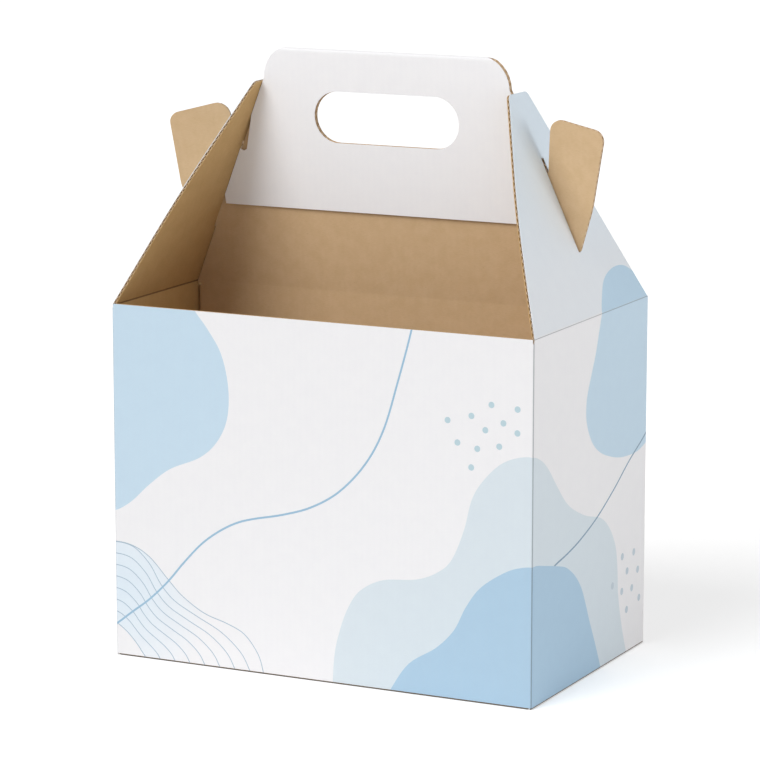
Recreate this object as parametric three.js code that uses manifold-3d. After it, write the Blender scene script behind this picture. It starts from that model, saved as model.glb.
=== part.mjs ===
// Gable carrier folded from white-lined kraft board: an open carton body with two gable
// flaps that lean in, and a handle divider whose ears lock through slits in those flaps.
// Millimetres, +Z up, front wall towards -Y, origin at the centre of the base.
import * as THREE from 'three';
import { mergeVertices } from 'three/addons/utils/BufferGeometryUtils.js';
import Module from 'manifold-3d';

const wasm = await Module();
wasm.setup();

// Board and fit
const BOARD = 1.5; // thickness of the corrugated board
const GAP = 0.3; // air between two sheets that lie beside each other
const INNER_FOLD = 0.7; // inside radius of the upright folds

// Carton body
const BODY_WIDTH = 220;
const BODY_DEPTH = 135;
const WALL_HEIGHT = 172.5;
const SEAM_FLAP_WIDTH = 16; // inner flap that joins the last wall to the first
const SEAM_FLAP_INSET = 5; // the seam flap stops this far from the wall's ends

// Lock bottom: two layers of flaps, the outer one parted by narrow grooves
const GROOVE_WIDTH = 0.8;
const GROOVE_SKIN = 0.4; // board left above a groove in the outer layer
const LOCK_REACH = 52; // half length of the seam between the long flaps
const LOCK_OFFSET = 6; // the seam lies this far in front of the middle
const TONGUE_HALF = 32; // half width of the tongue at its root
const TONGUE_TAPER = 4; // each side of the tongue draws in by this much
const TONGUE_LENGTH = 24;

// Gable flaps, measured along their slope from the fold on the wall
const GABLE_LEAN = THREE.MathUtils.degToRad(22.6);
const GABLE_LENGTH = 110.5;
const GABLE_INSET = 1.8; // relief notch beside each end of the fold
const GABLE_BOW = 5; // the front edge bows out this far at half length
const GABLE_BOW_RADIUS = 400;
const TIP_AHEAD = 7.4; // blunt tip, in front of the divider's front face
const TIP_BEHIND = 12.3; // and behind that face
const TIP_RADIUS = 4;

// Handle divider, upright up to the wall's height and leaning forward above it
const DIVIDER_SETBACK = 80.5; // front of the carton to the divider's front face
const DIVIDER_LEAN = THREE.MathUtils.degToRad(4.7);
const HANDLE_RISE = 118.5; // top of the handle above the walls
const HANDLE_WIDTH = 130;
const HANDLE_RADIUS = 15;
const HOLE_WIDTH = 76.5;
const HOLE_HEIGHT = 25;
const HOLE_BELOW_TOP = 20.2;
const TAB_DEPTH = 22; // side tabs folded back along the side walls
const TAB_INSET = 6;
const TAB_TAPER = 5;

// Front layer: the sheet turned over at the top of the handle and brought down in front
const LAYER_DROP = 78.6; // from the top of the handle to the layer's lower edge
const LAYER_CORNER_WIDTH = 2.4;
const LAYER_CORNER_HEIGHT = 4.4;
const NOTCH_DEPTH = 2.4; // side notch that clears the ear's root
const NOTCH_TOP = 92.5; // notch limits, along the gable's slope from the fold
const NOTCH_BOTTOM = 74;
const NOTCH_FOOT = 1.5; // height of the notch's short lower edge

// Slits in the gable flaps and the ears that lock in them
const SLIT_START = 31; // lower end of the slit, along the slope from the fold
const SLIT_SPARE = 7; // the slit is longer than the ear's neck by this much
const NECK_LENGTH = 40;
const EAR_FOLD = 0.6; // the ear turns this far outside the flap
const EAR_TURN = THREE.MathUtils.degToRad(13);
const EAR_BELLY = { out: 17.3, up: 15.3 }; // lower edge, from the slit's lower end
const EAR_OUTER = { out: 38, up: 45 }; // outer top corner
const EAR_INNER = { out: 12, up: 63.5 }; // inner top corner
const EAR_BELLY_RADIUS = 60;
const EAR_RADIUS = 5;

// Places worked out from the sizes above
const FLOOR = 2 * BOARD;
const FRONT = -BODY_DEPTH / 2;
const DIVIDER_FRONT = FRONT + DIVIDER_SETBACK;
const DIVIDER_FOOT = FLOOR + GAP;
const DIVIDER_HALF = BODY_WIDTH / 2 - BOARD - GAP;
const HANDLE_TOP = WALL_HEIGHT + HANDLE_RISE;
const FOLD_CENTRE = HANDLE_TOP - BOARD; // centre of the turned-over top edge
const LAYER_BOTTOM = HANDLE_TOP - LAYER_DROP;
const OVERLAP = 0.2; // joined shapes of one sheet share this much
const BEYOND = 40; // cutting shapes run this far past what they cut

// Directions: up the gable's slope, out of its face, and the divider's plane above the walls
const AXIS_Y = new THREE.Vector3(0, 1, 0);
const slopeUp = new THREE.Vector3(-Math.sin(GABLE_LEAN), 0, Math.cos(GABLE_LEAN));
const slopeOut = new THREE.Vector3(Math.cos(GABLE_LEAN), 0, Math.sin(GABLE_LEAN));
const panelNormal = new THREE.Vector3(0, -Math.cos(DIVIDER_LEAN), -Math.sin(DIVIDER_LEAN));
const slitUp = new THREE.Vector3().crossVectors(panelNormal, slopeOut).normalize();
const slitOut = new THREE.Vector3().crossVectors(slitUp, panelNormal).normalize();

// Depth of the divider's front face at height z
function dividerFace(z) {
  return DIVIDER_FRONT - Math.max(z - WALL_HEIGHT, 0) * Math.tan(DIVIDER_LEAN);
}

// Half width that is free between the gable flaps at height z, less the gap
function freeHalf(z) {
  const inner = BODY_WIDTH / 2 - (BOARD + GAP) / Math.cos(GABLE_LEAN);
  return inner - (z - WALL_HEIGHT) * Math.tan(GABLE_LEAN);
}

// Height at which that free half width equals x
function freeHeight(x) {
  return WALL_HEIGHT + (freeHalf(WALL_HEIGHT) - x) / Math.tan(GABLE_LEAN);
}

// Closed outline through corners [x, y, radius], each rounded by an arc of its radius
function outline(corners) {
  const shape = new THREE.Shape();
  corners.forEach(([x, y, radius = 0], i) => {
    const last = corners.at(i - 1);
    const next = corners[(i + 1) % corners.length];
    const back = new THREE.Vector2(last[0] - x, last[1] - y).normalize();
    const ahead = new THREE.Vector2(next[0] - x, next[1] - y).normalize();
    const half = Math.acos(back.dot(ahead)) / 2;
    const start = new THREE.Vector2(x, y).addScaledVector(back, radius / Math.tan(half));
    if (i === 0) shape.moveTo(start.x, start.y);
    else shape.lineTo(start.x, start.y);
    if (radius === 0) return;
    const end = new THREE.Vector2(x, y).addScaledVector(ahead, radius / Math.tan(half));
    const middle = back.clone().add(ahead).normalize();
    const centre = new THREE.Vector2(x, y).addScaledVector(middle, radius / Math.sin(half));
    const clockwise = back.cross(ahead) > 0;
    const from = start.sub(centre).angle();
    const to = end.sub(centre).angle();
    shape.absarc(centre.x, centre.y, radius, from, to, clockwise);
  });
  return shape;
}

function rectangle(x0, y0, x1, y1, radius = 0) {
  return outline([[x0, y0, radius], [x1, y0, radius], [x1, y1, radius], [x0, y1, radius]]);
}

// Frame whose local X and Y lie along the two given directions, at the given place
function frameOf(alongX, alongY, place) {
  const alongZ = new THREE.Vector3().crossVectors(alongX, alongY);
  return new THREE.Matrix4().makeBasis(alongX, alongY, alongZ).setPosition(place);
}

// Plate with this outline in the frame's XY plane, grown along the frame's Z
function plate(shape, thickness, frame = new THREE.Matrix4()) {
  const settings = { depth: thickness, bevelEnabled: false, curveSegments: 8 };
  return new THREE.ExtrudeGeometry(shape, settings).applyMatrix4(frame);
}

// The same plate on the other side of the plane X = 0
function mirrored(geometry) {
  const other = geometry.clone().applyMatrix4(new THREE.Matrix4().makeScale(-1, 1, 1));
  const place = other.getAttribute('position');
  const swapped = new THREE.Vector3();
  const kept = new THREE.Vector3();
  for (let i = 0; i < place.count; i += 3) {
    swapped.fromBufferAttribute(place, i + 1);
    kept.fromBufferAttribute(place, i + 2);
    place.setXYZ(i + 1, kept.x, kept.y, kept.z);
    place.setXYZ(i + 2, swapped.x, swapped.y, swapped.z);
  }
  return other;
}

// Plates to solids, and solids back to geometry
function solidOf(geometry) {
  const bare = geometry.clone();
  bare.deleteAttribute('normal');
  bare.deleteAttribute('uv');
  const merged = mergeVertices(bare, 1e-4);
  const vertProperties = merged.getAttribute('position').array;
  const triVerts = new Uint32Array(merged.getIndex().array);
  return new wasm.Manifold(new wasm.Mesh({ numProp: 3, vertProperties, triVerts }));
}

function joined(solids) {
  return solids.reduce((whole, solid) => whole.add(solid));
}

function meshOf(name, solid, material) {
  const { vertProperties, triVerts } = solid.getMesh();
  const geometry = new THREE.BufferGeometry();
  geometry.setAttribute('position', new THREE.BufferAttribute(vertProperties, 3));
  geometry.setIndex(new THREE.BufferAttribute(triVerts, 1));
  geometry.computeVertexNormals();
  const mesh = new THREE.Mesh(geometry, material);
  mesh.name = name;
  return mesh;
}

// Solid made of a plate and its mirror image
function pairOf(geometry) {
  return solidOf(geometry).add(solidOf(mirrored(geometry)));
}

// Four upright walls with rounded folds, open at the top
function walls() {
  const halfWidth = BODY_WIDTH / 2;
  const halfDepth = BODY_DEPTH / 2;
  const ring = rectangle(-halfWidth, -halfDepth, halfWidth, halfDepth, INNER_FOLD + BOARD);
  ring.holes.push(rectangle(
    BOARD - halfWidth, BOARD - halfDepth, halfWidth - BOARD, halfDepth - BOARD, INNER_FOLD));
  return solidOf(plate(ring, WALL_HEIGHT));
}

// Flap glued behind the back wall, at the fold where the sheet's two ends meet
function seamFlap() {
  const x = BODY_WIDTH / 2 - BOARD - OVERLAP;
  const strip = rectangle(
    -x, FLOOR + SEAM_FLAP_INSET, SEAM_FLAP_WIDTH - x, WALL_HEIGHT - SEAM_FLAP_INSET);
  const inside = new THREE.Vector3(0, BODY_DEPTH / 2 - BOARD + OVERLAP, 0);
  const frame = frameOf(new THREE.Vector3(1, 0, 0), new THREE.Vector3(0, 0, 1), inside);
  return solidOf(plate(strip, BOARD + OVERLAP, frame));
}

// Straight groove under the base from one point to another
function groove([x0, y0], [x1, y1]) {
  const run = new THREE.Vector2(x1 - x0, y1 - y0);
  const half = GROOVE_WIDTH / 2;
  const strip = rectangle(-half, -half, run.length() + half, half);
  const turn = new THREE.Matrix4().makeRotationZ(run.angle());
  const depth = BOARD - GROOVE_SKIN;
  return solidOf(plate(strip, depth + OVERLAP, turn.setPosition(x0, y0, -OVERLAP)));
}

// Base of two flap layers, its outer layer parted into front, back and side flaps
function base() {
  const halfWidth = BODY_WIDTH / 2;
  const halfDepth = BODY_DEPTH / 2;
  const plan = rectangle(-halfWidth, -halfDepth, halfWidth, halfDepth, INNER_FOLD + BOARD);
  const cornerX = halfWidth - BOARD;
  const cornerY = halfDepth - BOARD;
  const tipX = TONGUE_HALF - TONGUE_TAPER;
  const tipY = TONGUE_LENGTH - LOCK_OFFSET;
  const seam = [
    [-cornerX, -cornerY], [-LOCK_REACH, -LOCK_OFFSET], [-TONGUE_HALF, -LOCK_OFFSET],
    [-tipX, tipY], [tipX, tipY],
    [TONGUE_HALF, -LOCK_OFFSET], [LOCK_REACH, -LOCK_OFFSET], [cornerX, -cornerY],
  ];
  const grooves = seam.slice(1).map((end, i) => groove(seam[i], end));
  grooves.push(groove([-LOCK_REACH, -LOCK_OFFSET], [-cornerX, cornerY]));
  grooves.push(groove([LOCK_REACH, -LOCK_OFFSET], [cornerX, cornerY]));
  return solidOf(plate(plan, FLOOR)).subtract(joined(grooves));
}

// Gable flap leaning in over the right side wall, with a bowed front edge and a blunt tip
function gableFlap() {
  const root = BODY_DEPTH / 2 - GABLE_INSET;
  const tipFace = dividerFace(WALL_HEIGHT + GABLE_LENGTH * Math.cos(GABLE_LEAN));
  const tipFront = tipFace - TIP_AHEAD;
  const shape = outline([
    [-root, 0],
    [root, 0],
    [tipFace + TIP_BEHIND, GABLE_LENGTH, TIP_RADIUS],
    [tipFront, GABLE_LENGTH, TIP_RADIUS],
    [(tipFront - root) / 2 - GABLE_BOW, GABLE_LENGTH / 2, GABLE_BOW_RADIUS],
  ]);
  const place = new THREE.Vector3(BODY_WIDTH / 2, 0, WALL_HEIGHT);
  place.addScaledVector(slopeOut, -BOARD);
  return plate(shape, BOARD, frameOf(AXIS_Y, slopeUp, place));
}

// Place on the right flap's outer face, in the divider's front plane, where the slit starts
function slitFoot() {
  const z = WALL_HEIGHT + SLIT_START * Math.cos(GABLE_LEAN);
  const x = BODY_WIDTH / 2 - SLIT_START * Math.sin(GABLE_LEAN);
  return new THREE.Vector3(x, dividerFace(z), z);
}

// Slot through the right flap for the ear's neck
function slitCut() {
  const shape = rectangle(-2 * BOARD, -GAP, BOARD, NECK_LENGTH + SLIT_SPARE);
  const place = slitFoot().addScaledVector(panelNormal, -BOARD - GAP);
  return plate(shape, BOARD + 2 * GAP, frameOf(slitOut, slitUp, place));
}

function carton() {
  const flaps = pairOf(gableFlap()).subtract(pairOf(slitCut()));
  return joined([walls(), base(), seamFlap(), flaps]);
}

// Frames for shapes drawn from the side (Y, Z) and from the front (X, Z)
function sideFrame(x) {
  return frameOf(AXIS_Y, new THREE.Vector3(0, 0, 1), new THREE.Vector3(x, 0, 0));
}

function frontFrame(y) {
  const alongX = new THREE.Vector3(1, 0, 0);
  return frameOf(alongX, new THREE.Vector3(0, 0, 1), new THREE.Vector3(0, y, 0));
}

// Everything in front view inside this outline, over the whole depth of the carton
function frontColumn(shape) {
  return solidOf(plate(shape, BODY_DEPTH, frontFrame(BODY_DEPTH / 2)));
}

// The sheet seen from the side: upright, then leaning forward
function sheetBody() {
  const lean = BOARD / Math.cos(DIVIDER_LEAN);
  const bend = WALL_HEIGHT + (lean - BOARD) / Math.tan(DIVIDER_LEAN);
  const shape = outline([
    [DIVIDER_FRONT, DIVIDER_FOOT],
    [DIVIDER_FRONT + BOARD, DIVIDER_FOOT],
    [DIVIDER_FRONT + BOARD, bend],
    [dividerFace(FOLD_CENTRE) + lean, FOLD_CENTRE],
    [dividerFace(FOLD_CENTRE), FOLD_CENTRE],
    [DIVIDER_FRONT, WALL_HEIGHT],
  ]);
  return solidOf(plate(shape, BODY_WIDTH, sideFrame(-BODY_WIDTH / 2)));
}

// The front layer seen from the side, and the round edge over both layers
function layerBody() {
  const lean = BOARD / Math.cos(DIVIDER_LEAN);
  const shape = outline([
    [dividerFace(LAYER_BOTTOM) - lean, LAYER_BOTTOM],
    [dividerFace(LAYER_BOTTOM) + OVERLAP, LAYER_BOTTOM],
    [dividerFace(FOLD_CENTRE) + OVERLAP, FOLD_CENTRE],
    [dividerFace(FOLD_CENTRE) - lean, FOLD_CENTRE],
  ]);
  return solidOf(plate(shape, HANDLE_WIDTH * 2, sideFrame(-HANDLE_WIDTH)));
}

function topEdge() {
  const shape = new THREE.Shape();
  shape.absarc(dividerFace(FOLD_CENTRE), FOLD_CENTRE, BOARD, 0, 2 * Math.PI);
  return solidOf(plate(shape, HANDLE_WIDTH * 2, sideFrame(-HANDLE_WIDTH)));
}

// Front view of the sheet: straight sides, then close to the gable flaps, then the handle
function sheetFront() {
  const handleHalf = HANDLE_WIDTH / 2;
  const bend = freeHeight(DIVIDER_HALF);
  const shoulder = freeHeight(handleHalf);
  const body = outline([
    [-DIVIDER_HALF, DIVIDER_FOOT - GAP], [DIVIDER_HALF, DIVIDER_FOOT - GAP],
    [DIVIDER_HALF, bend], [handleHalf, shoulder],
    [-handleHalf, shoulder], [-DIVIDER_HALF, bend],
  ]);
  const handle = outline([
    [-handleHalf, LAYER_BOTTOM], [handleHalf, LAYER_BOTTOM],
    [handleHalf, HANDLE_TOP, HANDLE_RADIUS], [-handleHalf, HANDLE_TOP, HANDLE_RADIUS],
  ]);
  const holeTop = HANDLE_TOP - HOLE_BELOW_TOP;
  const hole = rectangle(
    -HOLE_WIDTH / 2, holeTop - HOLE_HEIGHT, HOLE_WIDTH / 2, holeTop, HOLE_HEIGHT / 2 - OVERLAP);
  return frontColumn(body).add(frontColumn(handle)).subtract(frontColumn(hole));
}

// Space on the right that the gable flap takes, with the gap
function gableSpace() {
  const top = WALL_HEIGHT + GABLE_LENGTH * Math.cos(GABLE_LEAN) + GAP;
  const far = BODY_WIDTH / 2 + BEYOND;
  const low = freeHeight(DIVIDER_HALF);
  const shape = outline([[DIVIDER_HALF, low], [far, low], [far, top], [freeHalf(top), top]]);
  return plate(shape, BODY_DEPTH, frontFrame(BODY_DEPTH / 2));
}

// What the front layer leaves out on the right: its lower corner and the notch by the ear
function layerCuts() {
  const side = freeHalf(LAYER_BOTTOM);
  const high = LAYER_BOTTOM + LAYER_CORNER_HEIGHT;
  const corner = outline([
    [side - LAYER_CORNER_WIDTH, LAYER_BOTTOM - OVERLAP], [side + BEYOND, LAYER_BOTTOM - OVERLAP],
    [side + BEYOND, high], [freeHalf(high), high],
  ]);
  const edge = -BOARD - GAP;
  const notch = outline([
    [edge, NOTCH_TOP], [edge - NOTCH_DEPTH, NOTCH_BOTTOM + NOTCH_FOOT],
    [edge - NOTCH_DEPTH / 2, NOTCH_BOTTOM], [BEYOND, NOTCH_BOTTOM], [BEYOND, NOTCH_TOP],
  ]);
  const place = new THREE.Vector3(BODY_WIDTH / 2, BODY_DEPTH / 2, WALL_HEIGHT);
  return pairOf(plate(corner, BODY_DEPTH, frontFrame(BODY_DEPTH / 2)))
    .add(pairOf(plate(notch, BODY_DEPTH, frameOf(slopeOut, slopeUp, place))));
}

function frontLayer(front) {
  const below = rectangle(-BODY_WIDTH, -BEYOND, BODY_WIDTH, LAYER_BOTTOM);
  const cut = front.subtract(frontColumn(below)).subtract(layerCuts());
  return cut.intersect(layerBody().add(topEdge()));
}

// Neck of the right ear, in the divider's own plane, through the slit
function neck() {
  const shape = rectangle(-2 * BOARD - GAP, 0, EAR_FOLD, NECK_LENGTH);
  const place = slitFoot().addScaledVector(panelNormal, -BOARD);
  return plate(shape, BOARD, frameOf(slitOut, slitUp, place));
}

// Right ear, turned forward outside the gable flap
function ear() {
  const shape = outline([
    [-EAR_FOLD, 0],
    [0, 0],
    [EAR_BELLY.out, EAR_BELLY.up, EAR_BELLY_RADIUS],
    [EAR_OUTER.out, EAR_OUTER.up, EAR_RADIUS],
    [EAR_INNER.out, EAR_INNER.up, EAR_RADIUS],
    [0, NECK_LENGTH],
    [-EAR_FOLD, NECK_LENGTH],
  ]);
  const turn = new THREE.Matrix4().makeRotationAxis(slitUp, -EAR_TURN);
  const out = slitOut.clone().applyMatrix4(turn);
  const forward = panelNormal.clone().applyMatrix4(turn);
  const place = slitFoot().addScaledVector(slitOut, EAR_FOLD).addScaledVector(forward, -BOARD);
  return plate(shape, BOARD, frameOf(out, slitUp, place));
}

// Right tab, folded back along the side wall below the gable's fold
function sideTab() {
  const low = DIVIDER_FOOT + TAB_INSET;
  const high = WALL_HEIGHT - TAB_INSET;
  const near = DIVIDER_FRONT + OVERLAP;
  const far = DIVIDER_FRONT + TAB_DEPTH;
  const shape = outline([
    [near, low], [far, low + TAB_TAPER], [far, high - TAB_TAPER], [near, high],
  ]);
  return plate(shape, BOARD, sideFrame(DIVIDER_HALF - BOARD));
}

function handleDivider() {
  const front = sheetFront().subtract(pairOf(gableSpace()));
  const sheet = front.intersect(sheetBody().add(topEdge()));
  return joined([sheet, frontLayer(front), pairOf(neck()), pairOf(ear()), pairOf(sideTab())]);
}

const whiteBoard = new THREE.MeshStandardMaterial({ color: 0xefeef0, roughness: 0.75, metalness: 0 });
const kraftBoard = new THREE.MeshStandardMaterial({ color: 0xbe9e76, roughness: 0.9, metalness: 0 });

const carrier = new THREE.Group();
carrier.add(meshOf('carton', carton(), whiteBoard));
carrier.add(meshOf('handle_divider', handleDivider(), kraftBoard));

export default carrier;
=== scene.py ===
# %% [markdown]
# A gable carrier is two flat sheets of corrugated board, cut, printed and folded. Here both
# sheets are made the same way: an outline is drawn on the flat blank, the print is drawn on
# it, the blank is cut into small faces along every outline, and then the faces are folded.
# The frame holds the finished sizes, so the first cell reads its box.

import math

import bmesh
import bpy
import numpy as np
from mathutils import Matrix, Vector
from mathutils.geometry import delaunay_2d_cdt


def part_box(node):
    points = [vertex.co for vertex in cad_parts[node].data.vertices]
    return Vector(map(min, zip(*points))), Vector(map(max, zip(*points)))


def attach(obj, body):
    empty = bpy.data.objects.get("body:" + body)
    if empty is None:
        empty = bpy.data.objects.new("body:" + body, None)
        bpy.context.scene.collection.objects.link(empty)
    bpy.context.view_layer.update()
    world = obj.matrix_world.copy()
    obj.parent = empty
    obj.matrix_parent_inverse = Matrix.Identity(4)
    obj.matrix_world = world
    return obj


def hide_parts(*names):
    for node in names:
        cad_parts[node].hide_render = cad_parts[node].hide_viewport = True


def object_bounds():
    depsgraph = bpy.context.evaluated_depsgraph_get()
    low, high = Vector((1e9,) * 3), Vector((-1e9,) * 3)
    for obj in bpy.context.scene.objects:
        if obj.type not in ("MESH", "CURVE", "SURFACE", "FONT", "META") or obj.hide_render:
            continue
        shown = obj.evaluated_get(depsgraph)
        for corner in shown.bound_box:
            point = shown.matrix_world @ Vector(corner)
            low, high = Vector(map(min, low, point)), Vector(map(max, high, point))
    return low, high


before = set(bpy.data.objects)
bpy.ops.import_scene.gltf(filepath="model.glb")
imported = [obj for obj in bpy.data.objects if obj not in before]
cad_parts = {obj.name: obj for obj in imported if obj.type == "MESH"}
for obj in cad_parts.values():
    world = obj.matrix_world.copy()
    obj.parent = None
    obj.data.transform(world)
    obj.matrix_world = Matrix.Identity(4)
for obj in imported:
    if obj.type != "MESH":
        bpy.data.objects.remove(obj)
cad_low, cad_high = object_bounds()
wall_low, wall_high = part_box("carton")
print("frame box", [round(v, 4) for v in (*cad_low, *cad_high)])

# %% [markdown]
# Every size below is in metres. The widths come from the frame's box, and the rest are the
# sizes of the folded box: how high the walls are, how far the gable flaps lean in, where the
# divider stands, and where the ears lock.

# %% Sizes of the two sheets
BOARD = 0.0015
LINER = 0.00026
GAP = 0.0003
FOLD = 0.0008  # outside radius of a fold, which is tighter than the board is thick
WIDTH = wall_high[0] - wall_low[0]
DEPTH = wall_high[1] - wall_low[1]
FRONT = wall_low[1]
HEIGHT = 0.1725
GABLE_LEAN = math.radians(22.6)
GABLE_LENGTH = 0.1105
GABLE_INSET = 0.0018
DIVIDER_LEAN = math.radians(4.7)
DIVIDER_FRONT = FRONT + 0.0805
DIVIDER_HALF = WIDTH / 2 - BOARD - GAP
FOOT = 2 * BOARD + GAP
TOP = cad_high[2]
SLIT_START = 0.031
SLIT_LENGTH = 0.047
SLIT_PLAY = 0.0009  # the slit's free space in front of the ear, which shows as a dark line
NECK = 0.040
print("walls", round(WIDTH, 4), round(DEPTH, 4), HEIGHT, "handle top", round(TOP, 4))

# %% [markdown]
# The camera looks from the front right and a little above, through a long lens. It is set
# first, so that every later test render shows the same view.

# %% Camera
CAMERA_PLACE = Vector((0.7626, -1.5378, 0.4633))
CAMERA_AIM = Vector((-0.001, 0, 0.1332))
camera_data = bpy.data.cameras.new("camera")
camera_data.lens = 172.07
camera_data.sensor_width = 36
camera = bpy.data.objects.new("camera", camera_data)
bpy.context.scene.collection.objects.link(camera)
camera.location = CAMERA_PLACE
camera.rotation_euler = (CAMERA_AIM - CAMERA_PLACE).to_track_quat("-Z", "Y").to_euler()
bpy.context.scene.camera = camera
print("camera", round((CAMERA_AIM - CAMERA_PLACE).length, 3), "m away")

# %% [markdown]
# Outlines on the blank are closed loops of points. Straight stretches need only their
# corners, a rounded corner is an arc, and a printed shape is a smooth curve that passes
# through each of a few points.


# %% Drawing on the blank
def arc_corner(last, corner, after, radius, steps=6):
    """Points that round this corner with an arc."""
    corner = np.array(corner)
    back = np.array(last) - corner
    ahead = np.array(after) - corner
    back /= np.linalg.norm(back)
    ahead /= np.linalg.norm(ahead)
    half = math.acos(np.dot(back, ahead)) / 2
    middle = (back + ahead) / np.linalg.norm(back + ahead)
    centre = corner + middle * radius / math.sin(half)
    start = corner + back * radius / math.tan(half) - centre
    end = corner + ahead * radius / math.tan(half) - centre
    sweep = math.pi - 2 * half
    # Each point is the share of the arc's first and last radius that its angle asks for.
    shares = [k / steps for k in range(steps + 1)]
    weights = [(math.sin((1 - s) * sweep), math.sin(s * sweep)) for s in shares]
    return [centre + (start * a + end * b) / math.sin(sweep) for a, b in weights]


def loop_of(corners, steps=6):
    """Closed loop through corners (u, v) or (u, v, radius)."""
    points = []
    for i, corner in enumerate(corners):
        if len(corner) == 2:
            points.append(np.array(corner))
            continue
        last, after = corners[i - 1], corners[(i + 1) % len(corners)]
        points += arc_corner(last[:2], corner[:2], after[:2], corner[2], steps)
    return np.array(points)


def smooth(points, closed=True, steps=6):
    """Smooth curve through points given in millimetres, as metres."""
    p = np.array(points, float) / 1000
    if closed:
        p = np.vstack([p[-1], p, p[0], p[1]])
    else:
        p = np.vstack([2 * p[0] - p[1], p, 2 * p[-1] - p[-2]])
    t = (np.arange(steps) / steps)[:, None]
    curve = []
    for a, b, c, d in zip(p, p[1:], p[2:], p[3:]):
        bend = (2 * a - 5 * b + 4 * c - d) * t**2 + (3 * b - a - 3 * c + d) * t**3
        curve.append((2 * b + (c - a) * t + bend) / 2)
    if not closed:
        curve.append(p[-2][None])
    return np.vstack(curve)


def ribbon(line, width):
    """Closed outline of a printed line of this width."""
    run = np.gradient(line, axis=0)
    side = np.stack([-run[:, 1], run[:, 0]], 1)
    side *= width / 2 / np.linalg.norm(side, axis=1)[:, None]
    return np.vstack([line + side, (line - side)[::-1]])


def dot(u, v, radius=0.0015, sides=16):
    """Round printed dot at (u, v) in millimetres."""
    turn = np.arange(sides) * 2 * math.pi / sides
    return np.stack([u / 1000 + radius * np.cos(turn), v / 1000 + radius * np.sin(turn)], 1)


print("one dot has", len(dot(0, 0)), "points")

# %% [markdown]
# The print is a common pattern of soft fields, a flowing line, fine contour lines and small
# dots. It runs round the folds, so it is drawn in the blank's own measure: u in millimetres
# along the walls from the middle of the front, and v in millimetres above the base. A field
# that leaves the sheet has a few points beyond its edge, so that the curve stays steady there.

# %% Printed fields
LIGHT_FIELD = [
    (5, -30), (7, -14), (8.4, 12), (11.4, 26), (16, 38), (22.3, 46.8), (34, 53), (51, 55.2),
    (62.1, 59.8), (69.4, 66.7), (75.5, 81.2), (79.5, 96.2), (85.8, 106.2), (95.5, 114.9),
    (108, 118.5), (118.7, 115.3), (127.3, 109.3), (136.8, 99.8), (150.1, 88.2), (169.2, 79.5),
    (188.5, 74.2), (198.5, 68), (205.2, 60.2), (208.6, 53), (210.4, 42.7), (211.4, 31.6),
    (215.5, 17.1), (221.6, 2), (230, -14), (236, -30),
]
DEEP_FIELD = [
    (22, -30), (30, -14), (38, 1), (47.5, 14.6), (61.4, 23.8), (70.6, 33.3), (76.3, 44.4),
    (83.2, 54.2), (92.9, 61.5), (102, 65.9), (112, 67.3), (124.4, 64.9), (139, 61.5),
    (148.5, 58.7), (158.3, 52.9), (166, 45.5), (171.6, 36.2), (176.2, 27.2), (183.1, 14.9),
    (190.1, 1.5), (198, -14), (204, -30),
]
CORNER_FIELD = [
    (-78, 192), (-70.5, 180), (-64.5, 172), (-57.9, 164), (-50.8, 152.7), (-47.2, 137),
    (-48, 122), (-53.6, 110.4), (-63, 102), (-79, 95), (-90.5, 86.4), (-101.5, 76.4),
    (-112, 71), (-128, 69), (-142, 78), (-150, 94), (-147, 116), (-154, 138), (-149, 180),
    (-146, 192),
]
EDGE_FIELD = [
    (193, 179), (202, 186.8), (213, 190.6), (225, 191.2), (234, 188.5), (242, 182), (252, 169),
    (268, 158), (284, 146), (288, 128), (278, 112), (262, 106), (246, 101), (232, 98),
    (214, 98.8), (199, 102), (185.9, 106.8), (176.6, 113.7), (170.5, 124.1), (170.5, 134.2),
    (175, 144), (180.5, 154.4), (185, 166), (188, 173),
]
BACK_FIELD = [
    (322, -30), (330, -14), (336, 14), (352, 30), (376, 36), (398, 50), (420, 70), (448, 78),
    (480, 74), (480, -14), (480, -30),
]
print("the front's largest field has", len(LIGHT_FIELD), "hand-set points")

# %% Printed lines and dots
FRONT_LINE = [
    (50, 180), (48, 170), (41.6, 147.4), (34.3, 124.3), (24.8, 107.2), (11.2, 92.8),
    (-3.5, 83.9), (-18.6, 78.8), (-34.1, 75.2), (-43.2, 72.3), (-52.3, 67.5), (-62.2, 60.2),
    (-72, 50), (-80.8, 39.8), (-91, 30), (-101.2, 22.2), (-112, 14), (-128, 4),
]
SIDE_LINE = [
    (125.5, 58), (133.5, 62.3), (150.2, 65.3), (165.1, 68.8), (184.3, 75.3), (204.6, 84.9),
    (223.4, 95.4), (243.8, 105.2), (262, 118), (290, 130), (330, 126), (368, 108), (404, 102),
    (440, 110), (480, 128),
]
FRONT_DOTS = [
    (67, 132), (79, 135), (89, 141), (102, 140), (95, 133), (86, 129), (102, 129), (72, 122),
    (82, 120), (93, 122), (79, 111),
]
SIDE_DOTS = [
    (216.1, 49.3), (230.5, 48.6), (222.3, 40.9), (235.7, 38.8), (204.2, 37.5), (215.9, 32.1),
    (228.5, 31.1), (237.8, 24.2), (222.2, 21.7),
]
CONTOUR_EDGE = [
    (-113, 56.6), (-104.3, 56.2), (-97.9, 54.5), (-93.2, 52.1), (-88.4, 48.4), (-80.1, 39.8),
    (-72.7, 33), (-61.2, 26.2), (-48.7, 22.5), (-39.3, 18.2), (-32.1, 9.3), (-29.3, 0.6),
    (-28.8, -2),
]
CONTOUR_OUTER = [
    (-113, 56.4), (-104.3, 56), (-97.9, 53.6), (-90.6, 46.7), (-84.9, 37.8), (-77.5, 30.5),
    (-65.4, 24.3), (-51.9, 17.8), (-41.5, 9.1), (-36.6, 0.7), (-35, -2),
]
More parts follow.
